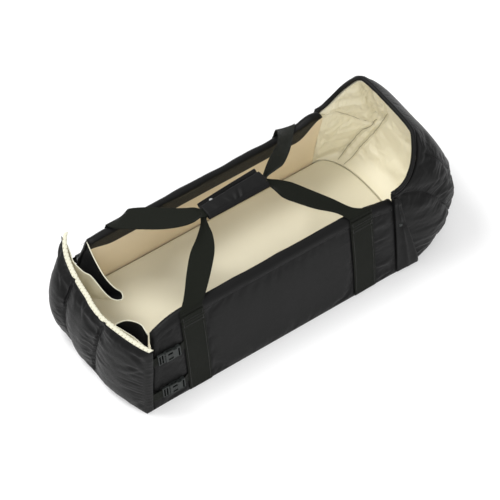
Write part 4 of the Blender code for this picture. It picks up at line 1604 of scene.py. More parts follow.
    def seams_of(self, skin: Surface, table: tuple, seed: int, *sizes: float) -> list[Seam]:
        """Seams of a table on both halves of a skin.

        Args:
            skin: Surface that they lie on.
            table: Shares across and up of each seam.
            seed: Seed of the first.
            sizes: Depth, width, pucker, reach and pitch of each, in millimetres.

        Returns:
            The seams.
        """
        return [
            Seam(skin(across, np.clip(up, 0.0, 1.0)), *(size * MM for size in sizes), seed + 2 * number + mirrored)
            for number, mirrored, across, up in self.runs(table, 60)
        ]

    def shell(self) -> None:
        """Black outer half of the padding with its curved seams."""
        front, _, middle = self.grids()
        seams = self.seams_of(self.outer, self.outer_seams, 40, 2.8, 2.6, 1.4, 30, 13)
        front = Filling(2.2, 0.025, 5 * MM, 18, 0.25).settle("hood", front, seams)

        def lift(spots: Array) -> Array:
            """Soft waves, with furrows drawn along the low sides, and the seams.

            Args:
                spots: Places, one row each.

            Returns:
                Height of each.
            """
            side = ease((np.abs(spots[:, 1]) - 0.05) / 0.05) * ease((0.20 - spots[:, 2]) / 0.04)
            drawn = spots * np.array([0.25, 0.25, 1.3]) + 0.25 * spots[:, :1] * np.array([0, 0, 1.0])
            furrows = 1.5 * MM * (1.0 - 2.0 * np.abs(lattice_noise(drawn, 0.024, 52)))
            return (
                Wave(1.0 * MM, 0.05, 51, (1.0, 1.0, 1.8)).at(spots)
                + (furrows + Wave(0.6 * MM, 0.010, 53).at(drawn)) * side
                + sewing_lift(spots, seams, 2.0 * MM, 18 * MM, 0.8)
            )

        front = front + rise(front, lift, border_fade(*lattice(self.columns, self.rows), 22, 14, 10))
        made = pad("hood_outer_pad", front, middle, bulge=0.3)
        keep_between(made, 2, low=COT.floor)
        dress(made, OUTER, Body.COT, ("hood_shell", "hood_wadding"))

    def lining(self) -> None:
        """Cream inner half of the padding, puckered at its seams."""
        front, back, middle = self.grids(0.04)
        seams = [
            *self.seams_of(self.inner, self.inner_seams, 60, 5.2, 3.0, 1.5, 26, 10),
            *self.seams_of(self.inner, (self.valley,), 80, 13, 10, 1.2, 16, 12),
            *self.seams_of(self.inner, (self.overhang,), 90, 4, 3, 0.6, 12, 16),
        ]
        settled = Filling(-1.6, 0.03, 6 * MM, 18, 0.08).settle("lining", back, seams)
        back = back + (settled - back) * ease((back[..., 2:] - COT.mattress_top - 0.004) / 0.03)

        def lift(spots: Array) -> Array:
            """Waves, with fine folds low on the sides and upright ones on the head wall, and the seams.

            Args:
                spots: Places, one row each.

            Returns:
                Height of each.
            """
            free = ease((spots[:, 2] - COT.mattress_top - 0.002) / 0.012)
            side = ease((np.abs(spots[:, 1]) - 0.05) / 0.04) * ease((0.24 - spots[:, 2]) / 0.03)
            head = ease((0.09 - np.abs(spots[:, 1])) / 0.04)
            upright = spots * np.array([1.0, 0.9, 0.5]) + spots[:, 2:] * np.array([0, 0.6, 0])
            total = (
                Wave(1.6 * MM, 0.06, 71, (0.7, 0.7, 1.5)).at(spots)
                + Wave(1.3 * MM, 0.011, 72, (0.22, 0.22, 1.2)).at(spots) * side
                + Wave(1.3 * MM, 0.028, 73).at(upright) * head
                + sewing_lift(spots, seams, 2.5 * MM, 14 * MM, 0.8)
            )
            return total * free

        step = rise(back, lift, border_fade(*lattice(self.columns, self.rows), 30, 30), -1.0)
        room = front - back
        outward = unit(room)
        depth = np.sum(step * outward, axis=-1, keepdims=True)
        most = 0.40 * np.linalg.norm(room, axis=-1, keepdims=True)
        back = back + step - outward * np.maximum(depth - most, 0.0)
        made = pad("hood_inner_pad", back, middle, bulge=0.3)
        keep_between(made, 2, low=COT.floor)
        dress(made, LINING, Body.COT, ("hood_lining",))
        self.threads(back)

    def threads(self, skin: Grid) -> None:
        """Dark cords that lie in the lining's seams, as painted shade of their furrows.

        Args:
            skin: Grid of the lining's visible face.
        """
        inward = -grid_normals(skin)
        for number, mirrored, across, up in self.runs(self.inner_seams, 120):
            path = sampled(skin, across, up) + sampled(inward, across, up) * 0.35 * MM
            half = "near" if mirrored else "far"
            # dark cord along the seam: painted shade of its furrow
            made = tube(f"lining_seam_shade_{number}_{half}", path, 0.65 * MM, sides=8)
            dress(made, SEAM_SHADE, Body.COT)

    def rim(self) -> None:
        """Rolled edge of the hood."""
        share = np.linspace(0.0, 1.0, 160)
        one = np.ones_like(share)
        middle = (self.outer(share, one) + self.inner(share, one)) / 2
        below = (self.outer(share, one * 0.98) + self.inner(share, one * 0.98)) / 2
        run = unit(np.gradient(middle, axis=0))
        upward = middle - below
        upward = unit(upward - run * np.sum(upward * run, axis=1, keepdims=True))
        path = middle + upward * (self.rim_radius + 0.0020)
        tuck = np.linspace(0.016, 0.004, 4)[:, None] * np.array([[0.1, 0.0, -1.0]])
        path = np.concatenate([path[0] + tuck, path, path[-1] + tuck[::-1]])
        radius = self.rim_radius * (1.0 + Wave(0.08, 0.03, 81).at(path))
        made = tube("hood_rolled_rim", path, radius, sides=18)
        ruffle(made, Wave(0.3 * MM, 0.012, 82).at)
        dress(made, OUTER, Body.COT, ("hood_rim",))

    def pleat(self, side: Side) -> None:
        """Folded pleat beside the hood's seam, widest at the floor, with its press stud.

        Args:
            side: Its side of the cot.
        """
        label = side.value
        across, v = np.meshgrid(np.linspace(0.0, 1.0, 29), np.linspace(0.01, 0.975, 90))
        turn = np.arctan2(between(0.040, 0.004, v) * across, COT.top_width / 2) / pi
        u = side.pick(turn, 1.0 - turn)
        base, out = self.outer(u, v), self.normals(u, v)
        ridge = np.exp(-np.abs((across - 0.52 - 0.10 * v) / 0.13) ** 1.5)
        fold = 3.8 * MM * ridge * np.sin(pi * np.clip(v * 1.05, 0, 1)) ** 0.5
        knot = 2.5 * MM * bell(v - 0.93, 0.035)
        ripple = Wave(0.6 * MM, 0.02, 91).at(base)
        low, high = (np.array(corner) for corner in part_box(f"{label}_hood_snap"))
        from_snap = np.linalg.norm((base - (low + high) / 2)[..., (0, 2)], axis=-1)
        proud = (1.0 * MM + 4.2 * MM * across**2 + knot + fold + ripple) * (1.0 - bell(from_snap, 0.011))
        front = base + out * (3.0 * MM + proud)[..., None]
        back = base + out * (0.8 * MM + ripple * 0.5)[..., None]
        made = pad(f"{label}_folded_pleat", front, back, bulge=0.8)
        keep_between(made, 2, low=COT.floor)
        dress(made, OUTER, Body.COT, (f"{label}_hood_pleat",))
        paint(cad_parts[f"{label}_hood_snap"], PLASTIC)


@dataclass
class FootFlap:
    """Quilted flap that folds out at the foot, with its lining and edge strip."""

    thickness: float = 0.0125
    bows: Triple = (0.030, 0.046, 0.034)  # how far it bows out at the floor, halfway and at its top
    near_powers: Triple = (2.1, 1.65, 1.2)  # squareness of the near half's bow at those heights
    far_powers: Triple = (2.2, 8.0, 1.2)  # the same of the far half
    heights: Triple = (0.198, 0.200, 0.213)  # height of its top edge at the near corner, the middle and the far corner
    leans: tuple[float, float] = (0.008, 0.020)  # how far the near and the far corner lean in
    puff: float = 0.0072  # swell of the quilted channels
    belly: float = 0.007  # extra swell of the far half
    flare: float = 0.002  # how much wider each half is at its top
    # Places of the channel seams across its foot, and its two ends.
    seam_feet: tuple[float, ...] = (-1.0, -0.10, 0.37, 1.0)
    seam_tops: tuple[float, ...] = (-1.0, -0.34, 0.38, 1.0)  # the same across its top
    strip: float = 0.0025
    strip_set: float = 0.0030  # distance of the strip behind the outer face
    mends: tuple = (  # how far the top is drawn in, by place across
        *((-1.0, 0.0), (-0.26, 0.0), (0.05, 0.0105), (0.42, 0.005)),
        *((0.55, 0.004), (0.8, 0.0015), (1.0, 0.0)),
    )
    inside: float = -0.3475  # furthest towards the cot that the cover may reach

    def seam_shares(self, v: Array) -> list[Array]:
        """Where the channel seams run across the flap at a share of its height."""
        return [between(foot, top, np.clip(v, 0.0, 1.0)) for foot, top in zip(self.seam_feet, self.seam_tops)]

    def bow(self, across: Array, v: Array) -> Array:
        """How far the flap bows out.

        Args:
            across: Shares from -1 to 1 across the flap.
            v: Shares of its height.

        Returns:
            Distance at each place.
        """
        power = np.where(across < 0, quadratic(self.near_powers, v), quadratic(self.far_powers, v))
        lean = np.where(across < 0, self.leans[0], self.leans[1])
        flat = quadratic(self.bows, v) * (1.0 - np.abs(across) ** power)
        drawn = profile(across, self.mends, 0.06) * np.clip(v, 0.0, 1.0) ** 3
        return flat - lean * v * v * np.abs(across) ** 6 - drawn

    def channel(self, across: Array, v: Array) -> Array:
        """Swell of the quilted channels.

        Args:
            across: Shares from -1 to 1 across the flap.
            v: Shares of its height.

        Returns:
            Distance at each place.
        """
        total = np.zeros(np.broadcast(across, v).shape)
        shares = self.seam_shares(v)
        for low, high in zip(shares, shares[1:]):
            inner = np.clip((across - low) / (high - low), 0.0, 1.0)
            hump = np.sqrt(np.maximum(np.sin(pi * inner), 0.0)) * np.sqrt(np.maximum(np.sin(pi * v), 0.0))
            total = np.maximum(total, self.puff * hump)
        return total

    def top(self, across: Array) -> Array:
        """Height of the top edge under its strip."""
        corner = np.where(across < 0, self.heights[0], self.heights[2])
        return between(self.heights[1], corner, np.minimum(np.abs(across), 1.0) ** 3)

    def face(self, across: Array, v: Array, depth: float | Array, quilted: bool = False) -> Array:
        """Points at a depth behind the outer face, which may have its channels.

        Args:
            across: Shares from -1 to 1 across the flap.
            v: Shares of its height.
            depth: Distance behind the outer face.
            quilted: Whether that face has its channels.

        Returns:
            The points.
        """
        half = COT.base_width / 2 + self.flare * v
        out = self.bow(across, v) + (self.channel(across, v) if quilted else 0.0)
        x = -COT.foot_end - COT.gap * 2 - self.thickness - out + depth
        return points_of(x, across * half, between(COT.floor, self.top(across), v))

    def build(self) -> None:
        """Make all of its pieces."""
        self.cover()
        self.inner()
        self.edge()

    def swell(self, across: Array, v: Array) -> Array:
        """Extra belly of the far half."""
        middle = np.sin(pi * np.clip((across - 0.05) / 0.95, 0.0, 1.0)) ** 1.5
        return self.belly * middle * np.sin(pi * np.clip(v * 1.05, 0.0, 1.0))

    def channel_seams(self) -> list[Seam]:
        """Seams between the channels.

        Returns:
            The seams.
        """
        made = []
        levels = np.linspace(0.0, 1.0, 60)
        for place in self.seam_shares(levels)[1:-1]:
            line = self.face(place, levels, 0.0, quilted=True)
            line[:, 0] -= self.swell(place, levels)
            made.append(Seam(line, 3.6 * MM, 3 * MM, 1.5 * MM, reach=22 * MM, pitch=11 * MM, seed=101))
        return made

    def border_seam(self, v: float, **sizes: float) -> Seam:
        """Line across the flap that only puckers the cloth beside it."""
        line = self.face(np.linspace(-1, 1, 80), np.full(80, v), 0.0, quilted=True)
        return Seam(line, depth=0.0, width=3 * MM, pucker=1.0 * MM, **sizes)

    def cover(self) -> None:
        """Black quilted cover, wrapped round the flap's sides and foot."""
        u, v = lattice(176, 84)
        across = between(-0.982, 0.982, u)
        up = between(0.014, 1.0, v)
        front = self.face(across, up, 0.0, quilted=True)
        front[..., 0] -= self.swell(across, v) - self.strip_set * ease((v - 0.93) / 0.07)
        deep = self.thickness - 1.6 * MM + 4 * MM * np.clip((np.abs(across) - 0.9) / 0.08, 0.0, 1.0)
        back = self.face(across, up, deep)
        seams = self.channel_seams()
        edges = (
            self.border_seam(0.99, reach=24 * MM, pitch=16 * MM, seed=103),
            self.border_seam(0.02, reach=26 * MM, pitch=12 * MM, seed=104),
        )
        front = Filling(-1.5, 0.02, 3.5 * MM, 18, 0.3).settle("flap", front, seams)

        def lift(spots: Array) -> Array:
            """Soft waves, with folds that fan out from the near upper corner, and the seams.

            Args:
                spots: Places, one row each.

            Returns:
                Height of each.
            """
            corner = spots - np.array([-0.362, -0.150, 0.150])
            away = np.linalg.norm(corner, axis=1)
            slope = np.arctan2(corner[:, 2], corner[:, 1] + 0.012)
            fan = Wave(1.8 * MM, 0.016, 113, (0.06, 0.15, 1.0)).at(points_of(slope, away, 0.0))
            return (
                Wave(0.9 * MM, 0.04, 111, (1.0, 0.7, 1.4)).at(spots)
                + Wave(0.4 * MM, 0.014, 112, (1.0, 0.5, 1.6)).at(spots)
                + fan * ease((away - 0.006) / 0.02) * ease((0.10 - away) / 0.07)
                + sewing_lift(spots, seams, 4.0 * MM, 20 * MM, 0.7, edges)
            )

        front = front + rise(front, lift, border_fade(u, v, 22, 16, 12), -1.0)
        made = pad("flap_outer_pad", front, back, rings=6, bulge=0.9)
        across = point_rows(made)[:, 1] / (COT.base_width / 2)
        keep_between(made, 2, COT.floor, self.top(across) - 1.2 * MM)
        keep_between(made, 0, high=self.inside)
        dress(made, OUTER, Body.FLAP, ("flap_cover", "flap_wadding"))

    def inner(self) -> None:
        """Cream lining inside."""
        u, v = lattice(100, 60)
        across = between(-0.95, 0.95, u)
        up = between(0.03, 0.995, v)
        front = self.face(across, up, self.thickness + 0.4 * MM)
        back = self.face(across, up, self.thickness * 0.8)

        def lift(spots: Array) -> Array:
            """Soft waves that only sink in."""
            return -1.6 * MM * np.maximum(Wave(1.0, 0.045, 121, (1.0, 0.8, 1.4)).at(spots), -0.2)

        front = front + rise(front, lift, border_fade(u, v, 8, 8, 8))
        made = pad("flap_inner_pad", front, back, bulge=0.5)
        dress(made, LINING, Body.FLAP, ("flap_lining",))

    def edge(self) -> None:
        """Pale strip over the top edge, drawn in at the seams and cross-stitched."""
        across = np.linspace(-0.998, 0.998, 160)
        nip = bell(across + 0.34, 0.022) + bell(across - 0.40, 0.022) + 0.5 * bell(across + 0.22, 0.02)
        rows = []
        for share in np.linspace(0.0, 1.0, 9):
            depth = between(self.strip_set + 3.5 * MM * nip, self.thickness, share)
            spot = self.face(across, np.ones_like(across), depth)
            spot[:, 2] += COT.gap + self.strip * (0.75 + 0.45 * math.sin(pi * share)) - 1.2 * MM * nip
            spot[:, 2] += Wave(0.35 * MM, 0.012, 131).at(spot)
            rows.append(spot)
        front = np.array(rows)
        back = front.copy()
        back[..., 2] = np.minimum(back[..., 2] - 1.4 * MM, self.top(across)[None, :] + 0.6 * MM)
        made = pad("flap_binding", front, back, rings=2, bulge=0.5)
        dress(made, PIPING, Body.FLAP, ("flap_edge_strip",))
        self.cross_stitch(front + np.array([0, 0, 0.25 * MM]))

    def cross_stitch(self, strip: Grid, near: int = 1, far: int = 7, stride: int = 2) -> None:
        """Thread that zigzags over the strip.

        Args:
            strip: Grid just above the strip.
            near: Row of the grid where the thread turns on one side.
            far: Row where it turns on the other.
            stride: Points of the grid from one turn to the next.
        """
        lines = []
        for number, index in enumerate(range(0, strip.shape[1] - 4, stride)):
            start, end = (far, near) if number % 2 == 0 else (near, far)
            lines.append(np.linspace(strip[start, index], strip[end, index + stride], 6))
        row = StitchRow(pitch=3.2 * MM, length=2.7 * MM, radius=0.42 * MM)
        dress(row.sew("flap_binding_stitches", lines, PALE_THREAD), PALE_THREAD, Body.FLAP)


FLAP = FootFlap()


@dataclass
class Gusset:
    """V fold of cloth between the foot end of a long side and the flap."""

    side: Side  # its side of the cot
    edge: tuple[Triple, ...]  # places of its top edge, from the long side round the fold's tip to the flap
    low: float = 0.056  # height of its foot, just above the mattress
    foot_line: tuple[float, float] = (-0.3465, -0.3530)  # where its foot starts at the long side and ends at the flap
    cot_limit: float = -0.300  # furthest that it may reach into the cot

    def skin(self) -> Grid:
        """Grid of the cloth: across from the side to the flap, up from the mattress.

        Returns:
            The grid.
        """
        u, v = lattice(110, 44)
        top = smooth_run(np.array(self.edge), u[0])
        wall = float(COT.inside(np.array(self.low)))
        tucked = wall - 2 * MM - 10 * MM * np.sin(pi * u[0])
        foot = points_of(between(*self.foot_line, u[0]), self.side.sign * tucked, self.low)
        grid = foot[None] + (top - foot)[None] * v[..., None]
        bag = Wave(2.5 * MM, 0.035, 141, (1.0, 1.0, 0.6)).at(grid) * np.sin(pi * u) * ease(v * 2)
        grid = grid + grid_normals(grid) * bag[..., None]
        grid[..., 0] = np.minimum(grid[..., 0], self.cot_limit)
        return grid

    def build(self) -> None:
        """Make the black cloth, the cream lining on its other face and the piping on its top edge."""
        label = self.side.value
        skin = self.skin()
        out = grid_normals(skin) * -self.side.sign
        black = pad(f"{label}_gusset_cloth", skin, skin + out * -0.7 * MM, rings=2, bulge=0.8)
        dress(black, OUTER, None, (f"{label}_foot_gusset",))
        cream = pad(f"{label}_gusset_lining", skin + out * 0.9 * MM, skin + out * 0.15 * MM, rings=2, bulge=0.8)
        dress(cream, LINING, None)
        cord = tube(f"{label}_gusset_piping", skin[-1] + np.array([0.0, 0.0, 0.5 * MM]), 1.2 * MM, sides=10)
        dress(cord, PIPING, None)
        start, end = (-0.336, 0.0, 0.0), (-COT.foot_end - 0.004, 0.0, 0.0)
        for made in (black, cream, cord):
            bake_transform(made)
        width, tall = (float(np.linalg.norm(np.diff(run, axis=0), axis=1).sum()) for run in (skin[-1], skin[:, 0]))
        across, up = skin[:-1, 1:] - skin[:-1, :-1], skin[1:, :-1] - skin[:-1, :-1]
        area = float(np.linalg.norm(np.cross(across, up), axis=2).sum())


NEAR_EDGE = (
    *((-0.33, -0.115, 0.188), (-0.331, -0.106, 0.196), (-0.33, -0.095, 0.196)),
    *((-0.331, -0.074, 0.183), (-0.34, -0.054, 0.171), (-0.35, -0.04, 0.154)),
    *((-0.355, -0.041, 0.151), (-0.3525, -0.066, 0.164), (-0.3515, -0.098, 0.178)),
    *((-0.3515, -0.13, 0.19), (-0.352, -0.139, 0.193)),
)
FAR_EDGE = (
    *((-0.314, 0.119, 0.208), (-0.3165, 0.103, 0.199), (-0.318, 0.086, 0.19)),
    *((-0.319, 0.055, 0.178), (-0.311, 0.032, 0.161), (-0.3015, 0.02, 0.148)),
    *((-0.308, 0.009, 0.142), (-0.323, 0.016, 0.143), (-0.332, 0.031, 0.154)),
    *((-0.34, 0.064, 0.178), (-0.35, 0.079, 0.186), (-0.356, 0.102, 0.195)),
    *((-0.35, 0.124, 0.199), (-0.347, 0.1385, 0.203)),
)


@dataclass
class Bedding:
    """Mattress and the cloth base under it."""

    slack: float = 0.0005  # room between the mattress and what holds it
    foot: float = 0.018  # how far the foot of the mattress bows out
    power: float = 2.4
    crown: float = 0.003
    inset: float = 0.0012  # distance of the base's edge inside its solid's edge
    half_length: float = 0.38
    past_foot: float = 0.045  # how far the base reaches past the long sides' foot ends

    def build(self) -> None:
        """Make the mattress and the base."""
        self.mattress()
        self.base()
        paint(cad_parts["base_board"], BOARD)

    def mattress(self) -> None:
        """Cream mattress, steep at its edge and slightly crowned."""
        u, v = lattice(150, 70)
        along = np.sin(pi * (u - 0.5))
        across = np.sin(pi * (v - 0.5))
        y = across * (COT.inside(COT.mattress_top) - self.slack)
        bow = np.maximum(1.0 - np.abs(across) ** self.power, 0.0) ** (1.0 / self.power)
        head_x = COT.hood_seam + (COT.mattress_head - self.slack - COT.gap) * bow
        foot_x = -COT.foot_end + self.slack - self.foot * bow
        x = between(foot_x, head_x, (along + 1.0) / 2)
        swell = np.maximum((1.0 - np.abs(along) ** 260) * (1.0 - np.abs(across) ** 90), 0.0) ** 0.2
        crown = self.crown * (1.0 - along**2) * (1.0 - across**2)
        top = points_of(x, y, COT.mattress_low + swell * (COT.mattress_top - COT.mattress_low + crown))
        made = pad("mattress_pad", top, points_of(x, y, COT.mattress_low), rings=1, bulge=0.0)
        ruffle(made, self.dents)
        dress(made, CREAM, Body.COT, ("mattress_cover", "mattress_core"))

    def dents(self, spots: Array) -> Array:
        """Shallow dents in the mattress's top."""
        free = ease((spots[:, 2] - 0.040) / 0.008)
        return -0.6 * MM * np.maximum(Wave(1.0, 0.09, 151).at(spots), -0.3) * free

    def base(self) -> None:
        """Cloth base under everything."""
        hood = Hood()
        angle = np.linspace(-pi / 2, pi / 2, 60)
        across = np.sin(angle)
        foot = FLAP.face(across, np.zeros_like(across), 0.0)
        x, y = hood.superellipse(angle, hood.floor_reach, COT.base_width / 2, hood.powers[0])
        share = np.linspace(0.0, 1.0, 40)[:, None]
        xs, ys = between(foot[:, 0], COT.hood_seam + x, share), between(foot[:, 1], y, share)
        inner_x, inner_y = 1 - self.inset / self.half_length, 1 - self.inset / (COT.base_width / 2)
        grid = points_of(xs * inner_x, ys * inner_y, 0.0)
        low, high = np.array([0.0, 0.0, 0.1 * MM]), np.array([0.0, 0.0, 2.9 * MM])
        made = pad("base_panel", grid + high, grid + low, bulge=0.8)
        dress(made, OUTER, Body.COT, ("base_cloth",))
        flat = (COT.base_width, COT.foot_end + COT.hood_seam + hood.floor_reach + self.past_foot)


LEG_EDGES = {
    (Side.NEAR, "foot"): (
        (
            *((-0.2407, -0.1041, 0.226), (-0.2102, -0.0691, 0.242), (-0.1857, -0.0449, 0.256)),
            *((-0.1604, -0.0295, 0.27), (-0.14, -0.012, 0.279)),
        ),
        (
            *((-0.2013, -0.1173, 0.226), (-0.1707, -0.0908, 0.242), (-0.1451, -0.0644, 0.256)),
            *((-0.133, -0.0409, 0.268), (-0.13, -0.024, 0.277)),
        ),
    ),
    (Side.NEAR, "head"): (
        (
            *((0.1422, -0.11, 0.224), (0.1154, -0.0747, 0.236), (0.0906, -0.0464, 0.249)),
            *((0.064, -0.0208, 0.264), (0.0429, -0.0074, 0.273), (0.0233, 0.0029, 0.28)),
        ),
        (
            *((0.1096, -0.1042, 0.224), (0.0781, -0.0808, 0.236), (0.0536, -0.0612, 0.249)),
            *((0.0309, -0.0412, 0.262), (0.023, -0.0242, 0.272), (0.0171, -0.0111, 0.28)),
        ),
    ),
    (Side.FAR, "foot"): (
        (
            *((-0.2574, 0.1036, 0.226), (-0.2332, 0.0737, 0.238), (-0.2001, 0.0372, 0.252)),
            *((-0.173, 0.0127, 0.265), (-0.152, -0.0003, 0.276), (-0.1348, -0.0052, 0.2855)),
        ),
        (
            *((-0.2156, 0.1225, 0.235), (-0.1891, 0.0953, 0.25), (-0.1643, 0.0634, 0.262)),
            *((-0.144, 0.0387, 0.274), (-0.1331, 0.0242, 0.283), (-0.1268, 0.0115, 0.288)),
        ),
    ),
    (Side.FAR, "head"): (
        (
            *((0.1709, 0.1206, 0.222), (0.1453, 0.0913, 0.238), (0.1206, 0.0631, 0.252), (0.0985, 0.0414, 0.262)),
            *((0.0723, 0.021, 0.271), (0.049, 0.0113, 0.281), (0.0223, 0.0031, 0.2865)),
        ),
        (
            *((0.127, 0.123, 0.236), (0.1166, 0.1006, 0.256), (0.0971, 0.075, 0.264), (0.074, 0.0573, 0.271)),
            *((0.0541, 0.0419, 0.278), (0.0368, 0.0272, 0.284), (0.0219, 0.0142, 0.288)),
        ),
    ),
}


@dataclass
class CarryHandle:
    """Loop of webbing from one band over the grip to the other."""

    side: Side
    narrow: float = 0.020  # its folded width at the grip
    cup: float = 0.009  # depth of its fold where it is narrow

    def stations(self) -> tuple[Array, Array]:
        """Places of the webbing's two edges along the loop, from the foot band to the head band.

        Returns:
            The outer and the inner edge, as rows of points.
        """
        sign = self.side.sign
        y = sign * (float(COT.outside(np.array(COT.height))) + COT.gap + COT.webbing / 2)
        z = COT.height + COT.webbing / 2 + COT.gap
        level = COT.grip_height + sign * (COT.webbing / 2 + COT.gap / 2)
        legs = []
        for (name, middle), sense in zip(COT.bands, (1.0, -1.0)):
            end_x = COT.grip_middle - sense * (COT.grip_length / 2 + COT.gap)
            outer, inner = LEG_EDGES[self.side, name]
            ends = [(end_x + sense * step, -sign * self.narrow / 2, level) for step in (0.0, 0.03)]
            outer = [(middle - sense * COT.strap / 2, y, z), *outer, *ends]
            inner = [(middle + sense * COT.strap / 2, y, z), *inner, *((ex, -ey, ez) for ex, ey, ez in ends)]
            legs.append((np.array(outer), np.array(inner)))
        return tuple(np.concatenate([legs[0][edge], legs[1][edge][::-1]]) for edge in (0, 1))

    def build(self) -> None:
        """Make the loop."""
        label = self.side.value
        t = np.linspace(0.0, 1.0, 320)
        outer, inner = (smooth_run(edge, t) for edge in self.stations())
        middle = (outer + inner) / 2
        ahead = unit(np.gradient(middle, axis=0))
        normal = unit(np.cross(unit(inner - outer), ahead))
        normal = (normal * np.sign(normal[len(t) // 2, 2]))[:, None]
        across = np.linspace(-1.0, 1.0, 19)
        folded = np.clip(1.0 - np.linalg.norm(inner - outer, axis=1) / COT.strap, 0.0, 1.0)
        cup = -folded[:, None] * self.cup * (1.0 - across[None, :] ** 2)
        base = middle[:, None] + ((inner - outer) / 2)[:, None] * across[None, :, None]
        drift = Wave(0.9 * MM, 0.045, self.side.pick(161, 162)).at(base)
        quiet = np.minimum(ease(t * 12), ease((1 - t) * 12))
        free = ease((np.abs(middle[:, 0] - COT.grip_middle) - COT.grip_length / 2) / 0.012)
        base = base + normal * ((drift + cup) * (quiet * free)[:, None])[..., None]
        half = normal * (COT.webbing / 2)
        made = pad(f"{label}_webbing_loop", base + half, base - half, bulge=0.8)
        dress(made, STRAP, self.side.pick(Body.NEAR_HANDLE, Body.FAR_HANDLE), (f"{label}_handle",))


@dataclass
class GripWrap:
    """Padded wrap on the near handle's grip, folded round both webbings."""

    width: float = 0.038  # its width across the handles
    cloth: float = 0.0025  # thickness of a leaf
    room: float = 0.0028  # room for the webbing inside the fold
    lip: float = 0.010  # length over which the fixed leaf's mouth curls up
    bend: float = 0.3  # share of the fixed leaf that goes round the fold

    @property
    def radius(self) -> float:
        """Inner radius of the fold."""
        return (COT.webbing * 2 + COT.gap * 3 + self.room) / 2

    def section(self, share: Array, depth: float, reach: Array) -> tuple[Array, Array]:
        """Section of the fixed leaf: round the near fold, then under the webbing.

        Args:
            share: Shares along the section.
            depth: Distance outside the leaf's inner face.
            reach: Where the section ends across the handles.

        Returns:
            Places across, and heights above the grip.
        """
        low = -(COT.webbing + COT.gap * 1.5) - depth
        radius = self.radius + depth
        turn_y = -(self.width / 2 - self.cloth - radius + depth)
        turn = pi * (1.0 - np.minimum(share / self.bend, 1.0))
        run = between(turn_y, reach, np.maximum((share - self.bend) / (1.0 - self.bend), 0.0))
        curl = 5 * MM * ease((run - self.width / 2) / self.lip)
        flat = share > self.bend
        y = np.where(flat, run, turn_y - radius * np.sin(turn))
        return y, np.where(flat, low + curl, low + radius - radius * np.cos(turn))

    def wrinkles(self, spots: Array) -> Array:
        """Creases across the wrap, stronger on top.

        Args:
            spots: Places, one row each.

        Returns:
            Height of each.
        """
        drawn = spots * np.array([1.0, 0.3, 0.3]) + 0.4 * spots[:, 1:2] * np.array([1.0, 0.0, 0.0])
        creases = 0.5 * MM * (1.0 - 2.0 * np.abs(lattice_noise(drawn, 0.016, 191)))
        top = ease((spots[:, 2] - COT.grip_height - 0.005) / 0.003)
        return (creases + Wave(0.5 * MM, 0.03, 192).at(spots)) * (0.4 + 0.9 * top)

    def build(self) -> None:
        """Make the two leaves and finish the studs."""
        u, v = lattice(60, 40)
        x = COT.grip_middle + (COT.grip_length - 0.002) * (u - 0.5)
        grids = []
        for depth in (self.cloth, 0.0):
            y, z = self.section(v, depth, between(0.0245, 0.0325, u))
            grids.append(points_of(x, y, z + COT.grip_height))
        made = pad("grip_wrap_pad", *grids, bulge=0.5)
        ruffle(made, self.wrinkles, 0.6)
        dress(made, OUTER, Body.NEAR_HANDLE, ("grip_wrap",))
        low = COT.grip_height + COT.webbing + COT.gap * 1.5 + self.room
        hinge = -(self.width / 2 - self.cloth - self.radius)
        y = between(hinge + COT.gap, between(0.0115, 0.0185, u), v)
        uneven = Wave(0.25, 0.018, 181).at(points_of(x, y, 0.0))
        swell = 1.6 * MM * np.sin(pi * v) ** 0.6 * (1.0 + uneven)
        fold = (x - COT.grip_middle - 0.009 - 0.4 * y) / 0.0035
        pinch = 2.0 * MM * (bell(fold, 1.0) - 0.6 * bell(np.abs(fold) - 1.8, 1.0)) * ease(1.1 - v * 1.1)
        top = points_of(x, y, low + self.cloth + swell - pinch)
        made = pad("grip_wrap_top_pad", top, points_of(x, y, low), bulge=0.5)
        ruffle(made, self.wrinkles)
        dress(made, OUTER, Body.LEAF, ("grip_wrap_leaf",))
        for part in ("post", "socket"):
            for end in ("foot", "head"):
                paint(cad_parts[f"stud_{part}_{end}"], METAL)


@dataclass
class SideBuckle:
    """Finish of one side release buckle and its webbing tabs."""

    side: Side
    position: str
    off: float = 0.0051  # height of the tabs off the side at the buckle
    overlap: float = 0.0015  # how far a tab reaches past its solid

    def build(self) -> None:
        """Finish the moulded halves and the tabs."""
        name = f"{self.side.value}_{self.position}"
        for half in ("female", "male"):
            paint(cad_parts[f"buckle_{half}_{name}"], PLASTIC)
        self.tab(f"band_tab_{name}", self.overlap, 0.5 * MM, Body.COT)
        made = self.tab(f"flap_tab_{name}", 1 * MM, self.off, None)
        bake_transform(made)

    def tab(self, node: str, past: float, proud: float, body: Body | None) -> Piece:
        """Short webbing tab along the side, level or rising to a buckle.

        Args:
            node: CAD node that it replaces.
            past: How far its head end reaches past that node.
            proud: Height off the side at its head end.
            body: Body that it rides on, or None where it bends.

        Returns:
            The tab.
        """
        (x0, _, z0), (x1, _, z1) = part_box(node)
        u, v = lattice(26, 16)
        xs, zs = between(x0 - self.overlap, x1 + past, u), between(z0, z1, v)
        off = between(self.off, proud, ease(u)) + Wave(0.35 * MM, 0.011, 171).at(points_of(xs, 0.0, zs))
        made = LongSide(self.side).strap(f"{node}_webbing", xs, zs, off + 0.8 * MM, 1.4 * MM)
        return dress(made, STRAP, body, (node,))


